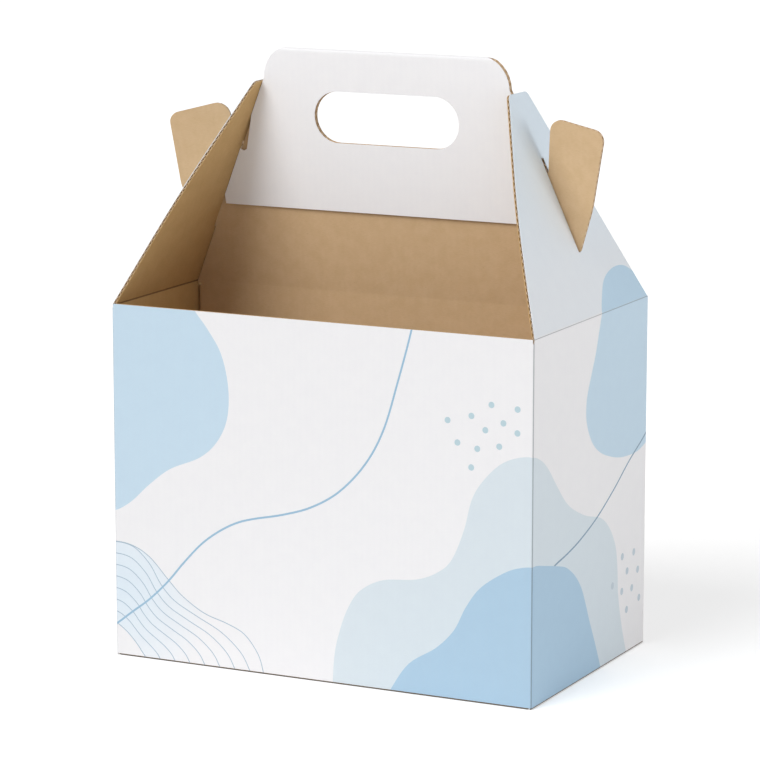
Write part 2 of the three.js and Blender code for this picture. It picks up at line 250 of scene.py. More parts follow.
CONTOUR_INNER = [
    (-113, 17), (-109.5, 15.8), (-107, 14.4), (-104, 12.2), (-101.6, 10), (-99.5, 7.8),
    (-97.6, 5.6), (-96, 3.4), (-94.8, 1.9), (-93.9, 0.7), (-92, -2),
]
# A dark brown band along the base fold. It is partly the brown of the board's raw bottom edge and partly
# painted contact shadow where the box meets the floor.
BOTTOM_EDGE_SHADE = [(-300, -0.6), (480, -0.6), (480, 0.85), (-300, 0.85)]
CONTOURS = 8
LINE_WIDTH = 0.00095
CONTOUR_WIDTH = 0.00042
SIDE_DOT = 0.0018
print("line", round(LINE_WIDTH * 1000, 2), "mm, contour line", round(CONTOUR_WIDTH * 1000, 2), "mm")

# %% [markdown]
# The contour lines are steps between an outer and an inner curve. Under them lies a pale haze
# that fades out. What stands later in the list of prints lies on top of what stands before.

# %% The whole print
contour_outer = smooth(CONTOUR_OUTER, closed=False)
contour_inner = smooth(CONTOUR_INNER, closed=False)
contours = [
    contour_outer + (contour_inner - contour_outer) * k / (CONTOURS - 1) for k in range(CONTOURS)]
contours.append(smooth(CONTOUR_EDGE, closed=False))
haze = np.vstack([contours[-1], contour_inner[::-1]])

prints = [("haze", haze), ("light", smooth(LIGHT_FIELD)), ("sky", smooth(EDGE_FIELD))]
prints += [("fine", ribbon(line, CONTOUR_WIDTH)) for line in contours]
prints += [
    ("side line", ribbon(smooth(SIDE_LINE, closed=False), LINE_WIDTH)),
    ("line", ribbon(smooth(FRONT_LINE, closed=False), LINE_WIDTH)),
    ("deep", smooth(DEEP_FIELD)),
    ("sky", smooth(CORNER_FIELD)),
    ("light", smooth(BACK_FIELD)),
]
prints += [("dot", dot(u, v)) for u, v in FRONT_DOTS]
prints += [("side dot", dot(u, v, SIDE_DOT)) for u, v in SIDE_DOTS]
# Last and on top: the band of painted contact shadow along the base fold.
prints += [("scored edge", np.array(BOTTOM_EDGE_SHADE) / 1000)]
print("printed shapes", len(prints))


# %% [markdown]
# Inks are given as the photo's screen colours and turned into linear light, which is what
# Blender's shaders work in.

# %% Ink colours
def linear(r, g, b):
    """Screen colour, 0 to 255, as linear light with alpha 1."""
    share = [c / 255 for c in (r, g, b)]
    light = [c / 12.92 if c <= 0.04045 else ((c + 0.055) / 1.055) ** 2.4 for c in share]
    return (*light, 1)


INKS = {
    "white": linear(240, 239, 240),
    "light": linear(216, 226, 232),
    "sky": linear(197, 219, 234),
    "deep": linear(174, 203, 224),
    "line": linear(152, 188, 212),
    "side line": linear(134, 160, 180),
    # painted contact shadow along the base fold, partly the brown of the raw board edge
    "scored edge": linear(104, 84, 58),
    "fine": linear(166, 186, 202),
    "haze": linear(222, 234, 243),
    "dot": linear(186, 209, 217),
    "side dot": linear(196, 208, 217),
}
print("inks:", ", ".join(INKS))


# %% [markdown]
# To cut the flat blank into faces, a triangulation takes the outline, the holes, the
# printed shapes and the fold lines as edges that it has to keep. Each face
# then lies wholly inside or outside every printed shape, so the print stays crisp at any
# distance without an image. Faces outside the outline or in a hole are dropped.


# %% Cutting the blank
def inside(points, loop):
    """Which points lie inside the closed loop."""
    x, y = points[:, 0][:, None], points[:, 1][:, None]
    a, b = loop, np.roll(loop, -1, axis=0)
    spans = (a[:, 1] > y) != (b[:, 1] > y)
    rise = np.where(b[:, 1] == a[:, 1], 1, b[:, 1] - a[:, 1])
    crosses = x < (b[:, 0] - a[:, 0]) * (y - a[:, 1]) / rise + a[:, 0]
    return (spans & crosses).sum(1) % 2 == 1


def finely(loop, reach=0.012):
    """The closed loop with points added on its long edges."""
    points = []
    for a, b in zip(loop, np.roll(loop, -1, axis=0)):
        count = max(1, math.ceil(np.linalg.norm(b - a) / reach))
        points += [a + (b - a) * k / count for k in range(count)]
    return np.array(points)


def cut_blank(outline, holes=(), shapes=(), folds=()):
    """Points, triangles and ink names of a blank."""
    loops = [finely(loop) for loop in (outline, *holes)]
    loops += [shape for _, shape in shapes]
    points, edges = [], []
    for loop in loops:
        first = len(points)
        points += list(loop)
        edges += [(first + k, first + (k + 1) % len(loop)) for k in range(len(loop))]
    for start, end in folds:
        edges.append((len(points), len(points) + 1))
        points += [np.array(start), np.array(end)]
    flat = [Vector(p) for p in points]
    made = delaunay_2d_cdt(flat, edges, [], 0, 1e-7)
    places = np.array([tuple(p) for p in made[0]])
    faces = np.array([tuple(f) for f in made[2]])
    a, b, c = (places[faces[:, k]] for k in range(3))
    area = (b[:, 0] - a[:, 0]) * (c[:, 1] - a[:, 1]) - (b[:, 1] - a[:, 1]) * (c[:, 0] - a[:, 0])
    faces[area < 0] = faces[area < 0][:, ::-1]
    middle = (a + b + c) / 3
    keep = inside(middle, outline) & (np.abs(area) > 1e-13)
    for hole in holes:
        keep &= ~inside(middle, hole)
    inks = np.full(len(faces), "white", dtype=object)
    for ink, shape in shapes:
        inks[inside(middle, shape)] = ink
    return places, faces[keep], inks[keep]


trial = cut_blank(np.array([(0, 0), (0.02, 0), (0.02, 0.02), (0, 0.02)]), (), [("dot", dot(10, 10))])
print("a square with one dot is cut into", len(trial[1]), "faces,", (trial[2] == "dot").sum(), "in the dot")

# %% [markdown]
# Folding is a walk along a path: straight stretches and arcs, one after the other, always
# turning the same way. A point at distance s along the blank lands at distance s along the
# path, and the path's outward normal says where the board's thickness goes.


# %% A path of straight stretches and arcs
class Path:
    """Plane path that starts at a point with a heading and turns left or right."""

    def __init__(self, start, heading, parts, origin=0.0, turn=1):
        """parts holds (length,) for a straight stretch and (radius, angle) for an arc."""
        self.turn, self.stations = turn, []
        place, s = np.array(start, float), origin
        for part in parts:
            length = part[0] if len(part) == 1 else part[0] * part[1]
            radius = None if len(part) == 1 else part[0]
            self.stations.append((s, s + length, place, heading, radius))
            place, heading = self.walk(place, heading, radius, np.array([length]))
            place, heading, s = place[0], heading[0], s + length

    def walk(self, place, heading, radius, along):
        """Places and headings after these lengths along one part."""
        if radius is None:
            step = np.array([math.cos(heading), math.sin(heading)])
            return place + along[:, None] * step, np.full(len(along), heading)
        later = heading + self.turn * along / radius
        step = np.stack([
            np.sin(later) - math.sin(heading), math.cos(heading) - np.cos(later)], 1)
        return place + step * radius * self.turn, later

    def at(self, s):
        """Places and outward normals at the distances s."""
        place, heading = np.zeros((len(s), 2)), np.zeros(len(s))
        last = len(self.stations) - 1
        for k, (low, high, start, angle, radius) in enumerate(self.stations):
            # The first and the last part also take what lies before and after the path.
            here = ((s >= low) | (k == 0)) & ((s < high) | (k == last))
            if here.any():
                place[here], heading[here] = self.walk(start, angle, radius, s[here] - low)
        normal = np.stack([np.sin(heading), -np.cos(heading)], 1) * self.turn
        return place, normal


def steps_between(low, high, count):
    """Evenly spaced fold lines from low to high."""
    return [low + (high - low) * k / count for k in range(count + 1)]


quarter_turn = Path((0, 0), 0, [(1, math.pi / 2)])
print("a quarter turn of radius 1 ends at", quarter_turn.at(np.array([math.pi / 2]))[0].round(3))

# %% [markdown]
# The carton's blank is one long strip: seam flap, left wall, front, right wall and back.
# Gable flaps grow from the two side walls, and four base flaps from the lower edges. Seen
# from above, the strip walks round the box in one direction.

# %% Plan of the walls
QUARTER = FOLD * math.pi / 2
SEAM_FLAP = 0.016
front_flat = WIDTH - 2 * FOLD
side_flat = DEPTH - 2 * FOLD
seam_inset = BOARD + 0.0001
left_flat = side_flat - seam_inset
seam_flat = SEAM_FLAP - FOLD
back_flat = WIDTH - FOLD
corner = (FOLD, math.pi / 2)
left_start = -front_flat / 2 - QUARTER - left_flat
strip_start = left_start - QUARTER - seam_flat
right_start = front_flat / 2 + QUARTER
right_end = right_start + side_flat
back_start = right_end + QUARTER
strip_end = back_start + back_flat
plan = Path(
    (-WIDTH / 2 + FOLD + seam_flat, FRONT + DEPTH - seam_inset), math.pi,
    [(seam_flat,), corner, (left_flat,), corner, (front_flat,), corner, (side_flat,), corner,
     (back_flat,)],
    origin=strip_start)
print("strip of", round(strip_end - strip_start, 4), "m")

# %% [markdown]
# The plan alone gives upright walls. Two more paths are walked up and down the wall: one
# leans the gable flaps in above it, the other turns the base flaps under it. The points are
# then set back by their depth in the board. A fold is tighter than the board is thick, so
# the inner liner is held inside the walls' inner faces and meets there in a sharp corner.

# %% Folding the carton
CUT_END = 0.001  # the back wall keeps its width over this length at its cut end
BASE_FOLD = 0.0008
BASE_ARC = BASE_FOLD * math.pi / 2
TOP_FOLD = 0.002
top_start = HEIGHT - TOP_FOLD * math.tan(GABLE_LEAN / 2)
wall_profile = Path(
    (0, 0), math.pi / 2, [(top_start - BASE_FOLD,), (TOP_FOLD, GABLE_LEAN), (0.2,)],
    origin=BASE_FOLD)
base_profile = Path((0, 0), -math.pi / 2, [(BASE_FOLD, math.pi / 2), (0.2,)], turn=-1)


def fold_carton(u, v, depth):
    """Folded places of blank points, this deep below the printed face."""
    # The plan gives each point its place round the box, and the two profiles its height.
    place, out = plan.at(u)
    rise, rise_out = wall_profile.at(v)
    drop, drop_out = base_profile.at(BASE_FOLD - v)
    side = ((u > left_start) & (u < left_start + left_flat)) | ((u > right_start) & (u < right_end))
    upright = (v >= BASE_FOLD) & ~(side & (v > top_start))
    base = v < BASE_FOLD
    inward = -np.where(base, drop[:, 0], rise[:, 0])
    inward[upright] = 0
    z = BASE_FOLD + np.where(base, drop[:, 1], rise[:, 1])
    z[upright] = v[upright]
    # Their normals, turned into the wall's own direction, say which way the board is thick.
    level = np.where(base, drop_out[:, 0], rise_out[:, 0])
    lift = np.where(base, drop_out[:, 1], rise_out[:, 1])
    level[upright], lift[upright] = 1, 0
    flat = place - out * inward[:, None]
    outward = np.column_stack([out * level[:, None], lift])
    point = np.column_stack([flat, z]) - outward * depth
    # What a tight fold would push past the corner is held inside the inner faces. Only the
    # back wall's cut end, which lies over the seam flap, keeps its full width.
    limit = WIDTH / 2 - depth * (u < strip_end - CUT_END)
    point[:, 0] = np.clip(point[:, 0], -limit, limit)
    point[:, 1] = np.clip(point[:, 1], FRONT + depth, FRONT + DEPTH - depth)
    point[:, 2] = np.maximum(point[:, 2], depth)
    return point


print("middle of the front lands at", fold_carton(np.zeros(1), np.full(1, HEIGHT / 2), 0).round(4))

# %% [markdown]
# A fold takes up a narrow band of the blank. Each band is cut into fold lines so that it
# bends smoothly, and it also gives every point a crease value that the materials use to paint
# shade along the fold: on the outside 1 in the middle of the band and 0 at its edges, and on
# the inside, where the fold closes up, 1 in the whole band and falling to 0 beside it. A band is
# its way across the blank, its begin and end, how far it runs from low to high, and its steps.

# %% Fold bands
# The crease value paints shade along the folds. This is how far that painted shade reaches beside a band on
# the inside of a fold.
CREASE_SHADE_REACH = 0.0012  # how far a pressed crease shows beside its band


def fold_lines(bands):
    """Fold lines across every band, and one line on each side of it where its painted crease shade ends."""
    lines = []
    for way, begin, end, low, high, steps in bands:
        for place in (begin - CREASE_SHADE_REACH, *steps_between(begin, end, steps), end + CREASE_SHADE_REACH):
            line = ((place, low), (place, high))
            lines.append(line if way == "upright" else tuple((v, u) for u, v in line))
    return lines


def crease_values(places, bands, pressed):
    """Crease value of every point, for painted shade. On the inside of a fold it reaches past the band."""
    crease = np.zeros(len(places))
    for way, begin, end, low, high, _ in bands:
        over, along = places.T if way == "upright" else places.T[::-1]
        if pressed:
            past = np.maximum(begin - over, over - end)
            value = np.clip(1 - past / CREASE_SHADE_REACH, 0, 1)
        else:
            value = np.sin(np.clip((over - begin) / (end - begin), 0, 1) * math.pi)
        here = (along > low - 1e-6) & (along < high + 1e-6)
        crease[here] = np.maximum(crease[here], value[here])
    return crease


print("one band of 6 steps is cut along", len(fold_lines([("level", 0, 1, 0, 1, 6)])), "lines")

# %% [markdown]
# The outline of the carton's blank is written once for each kind of edge. The gable flap is
# drawn in its own measure, depth y across it and s up its slope, and placed on the side walls
# by two small functions, one for each side, because the left wall runs the other way. Its
# blunt tip stands over the divider, and the slit in it follows the divider's plane.

# %% Gable flaps and slits
TIP_AHEAD, TIP_BEHIND, TIP_RADIUS = 0.0074, 0.0123, 0.004
GABLE_BOW, GABLE_BOW_RADIUS = 0.005, 0.4
left_rear = FRONT + DEPTH - seam_inset - FOLD


def divider_face(z):
    """Depth of the divider's front face at height z."""
    return DIVIDER_FRONT - max(z - HEIGHT, 0) * math.tan(DIVIDER_LEAN)


def on_right(y, s):
    """Blank point of the right gable flap or side wall."""
    return (right_start + y - FRONT - FOLD, HEIGHT + s)


def on_left(y, s):
    """Blank point of the left gable flap or side wall."""
    return (left_start + left_rear - y, HEIGHT + s)


def gable_corners(place, rear):
    """Gable flap from its front root over the blunt tip to its rear root."""
    root = DEPTH / 2 - GABLE_INSET
    tip = divider_face(HEIGHT + GABLE_LENGTH * math.cos(GABLE_LEAN))
    ahead, behind = tip - TIP_AHEAD, tip + TIP_BEHIND
    bow = (ahead - root) / 2 - GABLE_BOW
    return [
        place(FRONT + FOLD, 0), (*place(bow, GABLE_LENGTH / 2), GABLE_BOW_RADIUS),
        (*place(ahead, GABLE_LENGTH), TIP_RADIUS), (*place(behind, GABLE_LENGTH), TIP_RADIUS),
        place(rear, 0),
    ]


def slit(place):
    """Slot in the gable flap, along the divider's plane."""
    near = SLIT_PLAY / math.cos(DIVIDER_LEAN)
    far = (BOARD + GAP) / math.cos(DIVIDER_LEAN)
    ends = [
        (s, divider_face(HEIGHT + s * math.cos(GABLE_LEAN)))
        for s in (SLIT_START - GAP, SLIT_START + SLIT_LENGTH)
    ]
    (low, low_y), (high, high_y) = ends
    return loop_of([
        place(low_y - near, low), place(low_y + far, low),
        place(high_y + far, high), place(high_y - near, high),
    ])


print("right slit from", np.round(slit(on_right)[0], 4), "to", np.round(slit(on_right)[2], 4))

# %% [markdown]
# The base locks by a tongue on the front flap that slips behind the back flap. The four
# flaps meet along seams under a millimetre wide, and the side flaps fill the two ends. Each
# corner is given where it ends up under the box, and one function unfolds it to the blank.


# %% Base flaps
def base_point(wall, x, y):
    """Blank point of a base flap that ends up at (x, y) under the box."""
    reach = {
        "front": (x, y - FRONT), "back": (back_start + WIDTH / 2 - FOLD - x, FRONT + DEPTH - y),
        "left": (left_start + left_rear - y, x + WIDTH / 2),
        "right": (right_start + y - FRONT - FOLD, WIDTH / 2 - x),
    }[wall]
    return (reach[0], 2 * BASE_FOLD - BASE_ARC - reach[1])


ROOT = 0.0004  # each flap's root stays this far from the upright folds
SEAM_Y, SEAM_X = -0.006, 0.052
TONGUE_X, TONGUE_Y, TONGUE_TAPER, TONGUE_RADIUS = 0.032, 0.018, 0.004, 0.004
HALF_SEAM = 0.0004
LONG_FLAP_BACK, SIDE_FLAP_BACK = 0.0006, 0.0012  # how far the flaps stop short of the seams' ends
half_front = front_flat / 2


def side_base(wall, side, rear):
    """Side flap: a blunt triangle between the two long flaps."""
    edge = side * WIDTH / 2
    tip = side * (SEAM_X + SIDE_FLAP_BACK)
    rows = [
        (edge, FRONT + FOLD + ROOT), (tip, SEAM_Y - SIDE_FLAP_BACK),
        (tip, SEAM_Y + SIDE_FLAP_BACK), (edge, rear - ROOT),
    ]
    chain = [base_point(wall, *row) for row in rows]
    first, last = chain[0], chain[-1]
    return [(first[0], BASE_FOLD), *chain[1:-1], (last[0], BASE_FOLD)]


front_base = [
    (-half_front + ROOT, BASE_FOLD),
    base_point("front", -SEAM_X + LONG_FLAP_BACK, SEAM_Y - HALF_SEAM),
    base_point("front", -TONGUE_X + HALF_SEAM, SEAM_Y - HALF_SEAM),
    (*base_point("front", -TONGUE_X + TONGUE_TAPER + HALF_SEAM, TONGUE_Y - HALF_SEAM), TONGUE_RADIUS),
    (*base_point("front", TONGUE_X - TONGUE_TAPER - HALF_SEAM, TONGUE_Y - HALF_SEAM), TONGUE_RADIUS),
    base_point("front", TONGUE_X - HALF_SEAM, SEAM_Y - HALF_SEAM),
    base_point("front", SEAM_X - LONG_FLAP_BACK, SEAM_Y - HALF_SEAM),
    (half_front - ROOT, BASE_FOLD),
]
back_base = [
    (back_start + ROOT, BASE_FOLD),
    base_point("back", SEAM_X - LONG_FLAP_BACK, SEAM_Y + HALF_SEAM),
    base_point("back", TONGUE_X + HALF_SEAM, SEAM_Y + HALF_SEAM),
    (*base_point("back", TONGUE_X - TONGUE_TAPER + HALF_SEAM, TONGUE_Y + HALF_SEAM), TONGUE_RADIUS),
    (*base_point("back", -TONGUE_X + TONGUE_TAPER - HALF_SEAM, TONGUE_Y + HALF_SEAM), TONGUE_RADIUS),
    base_point("back", -TONGUE_X - HALF_SEAM, SEAM_Y + HALF_SEAM),
    base_point("back", -SEAM_X + LONG_FLAP_BACK, SEAM_Y + HALF_SEAM),
    (strip_end - FOLD - ROOT, BASE_FOLD),
]
left_base = side_base("left", -1, left_rear)[::-1]
right_base = side_base("right", 1, FRONT + DEPTH - FOLD)
print("base flaps reach", round(min(v for _, v, *_ in front_base + back_base), 4), "on the blank")

# %% [markdown]
# The whole outline runs round the blank from the seam flap, along the base flaps and back
# over the gable flaps. Upright corners end in a small foot below and a relief notch above.


# %% The carton's outline
def corner_foot(first, last):
    """Foot of an upright corner between two base flaps."""
    low = BASE_FOLD - CORNER_FOOT * BASE_ARC
    return [(first, BASE_FOLD), (first, low), (last, low), (last, BASE_FOLD)]


def corner_notch(first, last):
    """Small relief notch at the top of an upright corner."""
    turn = (last - first) * NOTCH_SLOPE
    low = HEIGHT - NOTCH_DEEP
    return [(first, HEIGHT), (first + turn, low), (last - turn, low), (last, HEIGHT)]


CORNER_FOOT = 0.8  # share of the base fold that the corner's foot goes round
NOTCH_SLOPE, NOTCH_DEEP = 0.12, 0.0018
SEAM_LOW, SEAM_HIGH, SEAM_TAPER = 0.008, HEIGHT - 0.005, 0.006
GABLE_REAR = 0.0003  # the gable flaps' rear roots stop this far before the corner
carton_outline = loop_of([
    (strip_start, SEAM_LOW + SEAM_TAPER), (left_start - QUARTER, SEAM_LOW),
    (left_start - QUARTER, BASE_FOLD), *left_base,
    *corner_foot(left_start + left_flat, -half_front), *front_base,
    *corner_foot(half_front, right_start), *right_base,
    *corner_foot(right_end, back_start), *back_base, (strip_end, BASE_FOLD),
    (strip_end, HEIGHT), (right_end, HEIGHT),
    *gable_corners(on_right, FRONT + DEPTH - FOLD - GABLE_REAR)[::-1],
    *corner_notch(right_start, half_front), *corner_notch(-half_front, left_start + left_flat),
    *gable_corners(on_left, left_rear - GABLE_REAR), (left_start, HEIGHT),
    (left_start - QUARTER, HEIGHT), (left_start - QUARTER, SEAM_HIGH),
    (strip_start, SEAM_HIGH - SEAM_TAPER),
])
print("carton outline", len(carton_outline), "points,", np.round(np.ptp(carton_outline, axis=0), 4), "m")

# %% The carton's blank
side_walls = ((left_start, left_start + left_flat), (right_start, right_end))
long_walls = ((-half_front, half_front), (back_start, strip_end))
carton_bands = [
    ("upright", u, u + QUARTER, 0, HEIGHT, 6)
    for u in (left_start - QUARTER, -half_front - QUARTER, half_front, right_end)]
carton_bands += [
    ("level", BASE_FOLD - BASE_ARC, BASE_FOLD, *wall, 6) for wall in side_walls + long_walls]
carton_bands += [
    ("level", top_start, top_start + TOP_FOLD * GABLE_LEAN, *wall, 4) for wall in side_walls]
carton_blank = cut_blank(
    carton_outline, [slit(on_right), slit(on_left)], prints, fold_lines(carton_bands))
print("carton blank", len(carton_blank[0]), "points", len(carton_blank[1]), "faces")


# %% [markdown]
# The divider's blank is walked in the same way, but in side view: up from the base, leaning
# forward above the walls, over the top in a half turn, and down in front. Its white side is
# the outside of that path. Two more folds cross it: the side tabs turn back, and the ears
# turn forward beyond the slits.

# %% The divider's path
BEND_FOLD, TOP_TURN = 0.003, BOARD + 0.00005
lean_cos, lean_sin = math.cos(DIVIDER_LEAN), math.sin(DIVIDER_LEAN)
bend_z = HEIGHT + BOARD * (1 / lean_cos - 1) / math.tan(DIVIDER_LEAN)
bend_half = BEND_FOLD * math.tan(DIVIDER_LEAN / 2)
bend_start = bend_z - bend_half
bend_end = bend_start + BEND_FOLD * DIVIDER_LEAN
turn_z = TOP - TOP_TURN
lean_run = (turn_z - bend_z + TOP_TURN * lean_sin) / lean_cos - bend_half
turn_start = bend_end + lean_run
turn_end = turn_start + math.pi * TOP_TURN
sheet_path = Path(
    (DIVIDER_FRONT + BOARD, FOOT), math.pi / 2,
    [(bend_start - FOOT,), (BEND_FOLD, DIVIDER_LEAN), (lean_run,), (TOP_TURN, math.pi), (0.2,)],
    origin=FOOT)


def sheet_v(z):
    """Blank distance of height z on the sheet behind."""
    return z if z < bend_start else bend_end - bend_half + (z - bend_z) / lean_cos


def layer_v(z):
    """Blank distance of height z on the front layer."""
    return turn_end + (turn_z - TOP_TURN * lean_sin - z) / lean_cos


print("the divider turns over at", round(turn_start, 4), "to", round(turn_end, 4), "m up the blank")

# %% [markdown]
# The side tabs turn back by a right angle about an upright line. The ears turn forward about
# the slit, which leans with the gable flap, so an ear is measured out from the slit and up
# along it. Both are written for the half with u above 0 and turned about for the other half.

# %% Folding the divider
TAB_FOLD, TAB_LENGTH, TAB_TAPER = 0.0005, 0.020, 0.005
TAB_START = DIVIDER_HALF - TAB_FOLD - BOARD
TAB_END = TAB_START + TAB_FOLD * math.pi / 2 + TAB_LENGTH
TAB_LOW, TAB_HIGH = FOOT + 0.006, HEIGHT - 0.0025
TAB_SLACK = 0.0005
EAR_FOLD, EAR_TURN = 0.003, math.radians(13)
EAR_GAP = 0.0006  # the ear turns this far outside the gable flap
EAR_BELOW, EAR_ABOVE = 0.010, 0.072  # the ears lie between these distances from the slit's end
slit_turn = math.atan(lean_cos * math.tan(GABLE_LEAN))
out_x, out_v = math.cos(slit_turn), math.sin(slit_turn)
slit_x = WIDTH / 2 - SLIT_START * math.sin(GABLE_LEAN)
slit_v = sheet_v(HEIGHT + SLIT_START * math.cos(GABLE_LEAN))


def ear_point(out, up, *radius):
    """Blank point beside the slit: out from the gable flap's face, up along the slit."""
    return (slit_x + out * out_x - up * out_v, slit_v + out * out_v + up * out_x, *radius)


def fold_divider(u, v, depth):
    """Folded places of blank points, this deep below the white face."""
    place, out = sheet_path.at(v)
    x, side = np.abs(u), -np.sign(u)
    normal = np.column_stack([np.zeros(len(u)), out])
    point = np.column_stack([-u, place])
    # The tabs bend back about their upright fold line.
    tab = (x > TAB_START) & (v > TAB_LOW - TAB_SLACK) & (v < TAB_HIGH + TAB_SLACK)
    past = np.where(tab, x - TAB_START, 0)
    angle = np.minimum(past / TAB_FOLD, math.pi / 2)
    rest = past - angle * TAB_FOLD
    point += normal * (TAB_FOLD * (1 - np.cos(angle)) + rest)[:, None]
    point[:, 0] += side * (TAB_FOLD * np.sin(angle) - past)
    normal *= np.cos(angle)[:, None]
    normal[:, 0] -= side * np.sin(angle)
    # The ears bend forward about the line of the slit.
    past = (x - slit_x) * out_x + (v - slit_v) * out_v - EAR_GAP
    past = np.where((past > 0) & (v > slit_v - EAR_BELOW) & (v < slit_v + EAR_ABOVE), past, 0)
    angle = np.minimum(past / EAR_FOLD, EAR_TURN)
    rest = past - angle * EAR_FOLD
    up_sheet = np.full((len(u), 2), (-lean_sin * out_v, lean_cos * out_v))
    across = np.column_stack([side * out_x, up_sheet])
    slide = EAR_FOLD * np.sin(angle) + rest * np.cos(angle) - past
    forward = EAR_FOLD * (1 - np.cos(angle)) + rest * np.sin(angle)
    point += across * slide[:, None] - normal * forward[:, None]
    normal = normal * np.cos(angle)[:, None] + across * np.sin(angle)[:, None]
    return point - normal * depth


print("slit's lower end at", round(slit_x, 4), round(slit_v, 4), "on the divider's blank")

# %% [markdown]
# One function writes half of the divider's outline, and the other half is turned over from
# it. The two ears were cut a little differently, so each half has its own ear. Between the
# gable flaps the sheet narrows as they lean in, and above them it is as wide as the handle.

# %% The divider's outline
HANDLE_HALF, HANDLE_RADIUS = 0.065, 0.015
LAYER_BOTTOM = TOP - 0.0786
LAYER_CORNER_OUT, LAYER_CORNER_UP = 0.0024, 0.0044
NOTCH_TOP, NOTCH_LOW, NOTCH_BOTTOM = 0.0925, 0.0755, 0.074  # side notch, up the gable flap
NOTCH_IN, NOTCH_FOOT_IN = 0.0034, 0.0022
TAB_CUT = 0.001  # cut above and below each tab
TAB_RADIUS = 0.003
WALL_CLEAR = 0.0004
inner = BOARD + GAP
gable_inside = WIDTH / 2 - inner / math.cos(GABLE_LEAN)
shoulder = HEIGHT + (gable_inside - HANDLE_HALF) / math.tan(GABLE_LEAN)


def free_half(z):
    """Half width left for the divider between the gable flaps at height z."""
    return min(DIVIDER_HALF, gable_inside - (z - HEIGHT) * math.tan(GABLE_LEAN))


def layer_point(out, up):
    """Blank point on the front layer, measured from the gable flap's root."""
    lean = (math.cos(GABLE_LEAN), math.sin(GABLE_LEAN))
    return (WIDTH / 2 + out * lean[0] - up * lean[1], layer_v(HEIGHT + out * lean[1] + up * lean[0]))


def handle_corner(flip):
    """Rounded top corner of the handle, ending at the turn."""
    middle = (turn_start + turn_end) / 2
    low = sheet_v(TOP - HANDLE_RADIUS)
    angles = [k * math.pi / 16 for k in range(9)]
    rows = [
        (HANDLE_HALF - HANDLE_RADIUS * (1 - math.cos(a)), low + (middle - low) * math.sin(a))
        for a in angles]
    return [(x, 2 * middle - v) for x, v in rows[-2::-1]] if flip else rows


def half_outline(ear):
    """Half with u above 0. The ear is three corners (out, up, radius) from the slit's end."""
    low_corner = LAYER_BOTTOM + LAYER_CORNER_UP
    return loop_of([
        (0, FOOT),
        (DIVIDER_HALF, FOOT), (DIVIDER_HALF, TAB_LOW - TAB_CUT), (TAB_START, TAB_LOW - TAB_CUT),
        (TAB_START, TAB_LOW), (TAB_END, TAB_LOW + TAB_TAPER, TAB_RADIUS),
        (TAB_END, TAB_HIGH - TAB_TAPER, TAB_RADIUS), (TAB_START, TAB_HIGH),
        (TAB_START, TAB_HIGH + TAB_CUT), (DIVIDER_HALF, TAB_HIGH + TAB_CUT),
        (DIVIDER_HALF, sheet_v(HEIGHT - WALL_CLEAR)),
        ear_point(-inner, 0), ear_point(EAR_GAP, 0),
        *(ear_point(EAR_GAP + out, up, radius) for out, up, radius in ear),
        ear_point(EAR_GAP, NECK), ear_point(-inner, NECK),
        (HANDLE_HALF, sheet_v(shoulder)), *handle_corner(False), *handle_corner(True),
        (HANDLE_HALF, layer_v(shoulder)), layer_point(-inner, NOTCH_TOP),
        layer_point(-inner - NOTCH_IN, NOTCH_LOW), layer_point(-inner - NOTCH_FOOT_IN, NOTCH_BOTTOM),
        layer_point(-inner, NOTCH_BOTTOM),
        (free_half(low_corner), layer_v(low_corner)),
        (free_half(LAYER_BOTTOM) - LAYER_CORNER_OUT, layer_v(LAYER_BOTTOM)),
        (0, layer_v(LAYER_BOTTOM)),
    ])[1:-1]


LEFT_EAR = [(0.0190, 0.0095, 0.02), (0.0377, 0.0450, 0.005), (0.0120, 0.0635, 0.0065)]
RIGHT_EAR = [(0.0158, 0.0165, 0.06), (0.0396, 0.0478, 0.005), (0.0136, 0.0635, 0.0065)]
left_half, right_half = half_outline(LEFT_EAR), half_outline(RIGHT_EAR)
divider_outline = np.vstack([left_half, (right_half * (-1, 1))[::-1]])
print("divider outline", len(divider_outline), "points,", np.round(np.ptp(divider_outline, axis=0), 4), "m")

# %% [markdown]
# The hand hole is cut twice, once in each layer, so that both line up when the sheet is
# turned over. The fold lines of the ears follow the slit, so they are added one by one.

# %% The divider's blank
HOLE_HALF, HOLE_HEIGHT, HOLE_BELOW = 0.03825, 0.025, 0.0202


def hand_hole(height_to_v):
    """Hand hole with round ends, in the layer whose heights this function gives."""
    high = height_to_v(TOP - HOLE_BELOW)
    low = height_to_v(TOP - HOLE_BELOW - HOLE_HEIGHT)
    radius = abs(high - low) / 2 - 0.0001
    rows = [(-HOLE_HALF, low), (HOLE_HALF, low), (HOLE_HALF, high), (-HOLE_HALF, high)]
    return loop_of([(*row, radius) for row in rows], steps=12)


divider_bands = [
    ("level", bend_start, bend_end, -0.12, 0.12, 3),
    ("level", turn_start, turn_end, -0.07, 0.07, 10),
]
for side in (-1, 1):
    tab_fold = sorted((side * TAB_START, side * (TAB_START + TAB_FOLD * math.pi / 2)))
    divider_bands.append(("upright", *tab_fold, TAB_LOW, TAB_HIGH, 5))
divider_folds = fold_lines(divider_bands)
for side in (-1, 1):
    for out in steps_between(EAR_GAP, EAR_GAP + EAR_FOLD * EAR_TURN, 3):
        ends = [ear_point(out, up) for up in (-0.001, NECK + 0.001)]
        divider_folds.append(tuple((side * x, v) for x, v in ends))
divider_blank = cut_blank(
    divider_outline, [hand_hole(sheet_v), hand_hole(layer_v)], (), divider_folds)
print("divider blank", len(divider_blank[0]), "points", len(divider_blank[1]), "faces")


# %% [markdown]
# Corrugated board has two liners with a wavy paper between them. Each liner is made as a thin
# closed sheet: the blank's faces are folded at two depths, and a rim joins them along the
# cut edges. The flat blank goes along as a UV map, and the ink as a colour attribute.


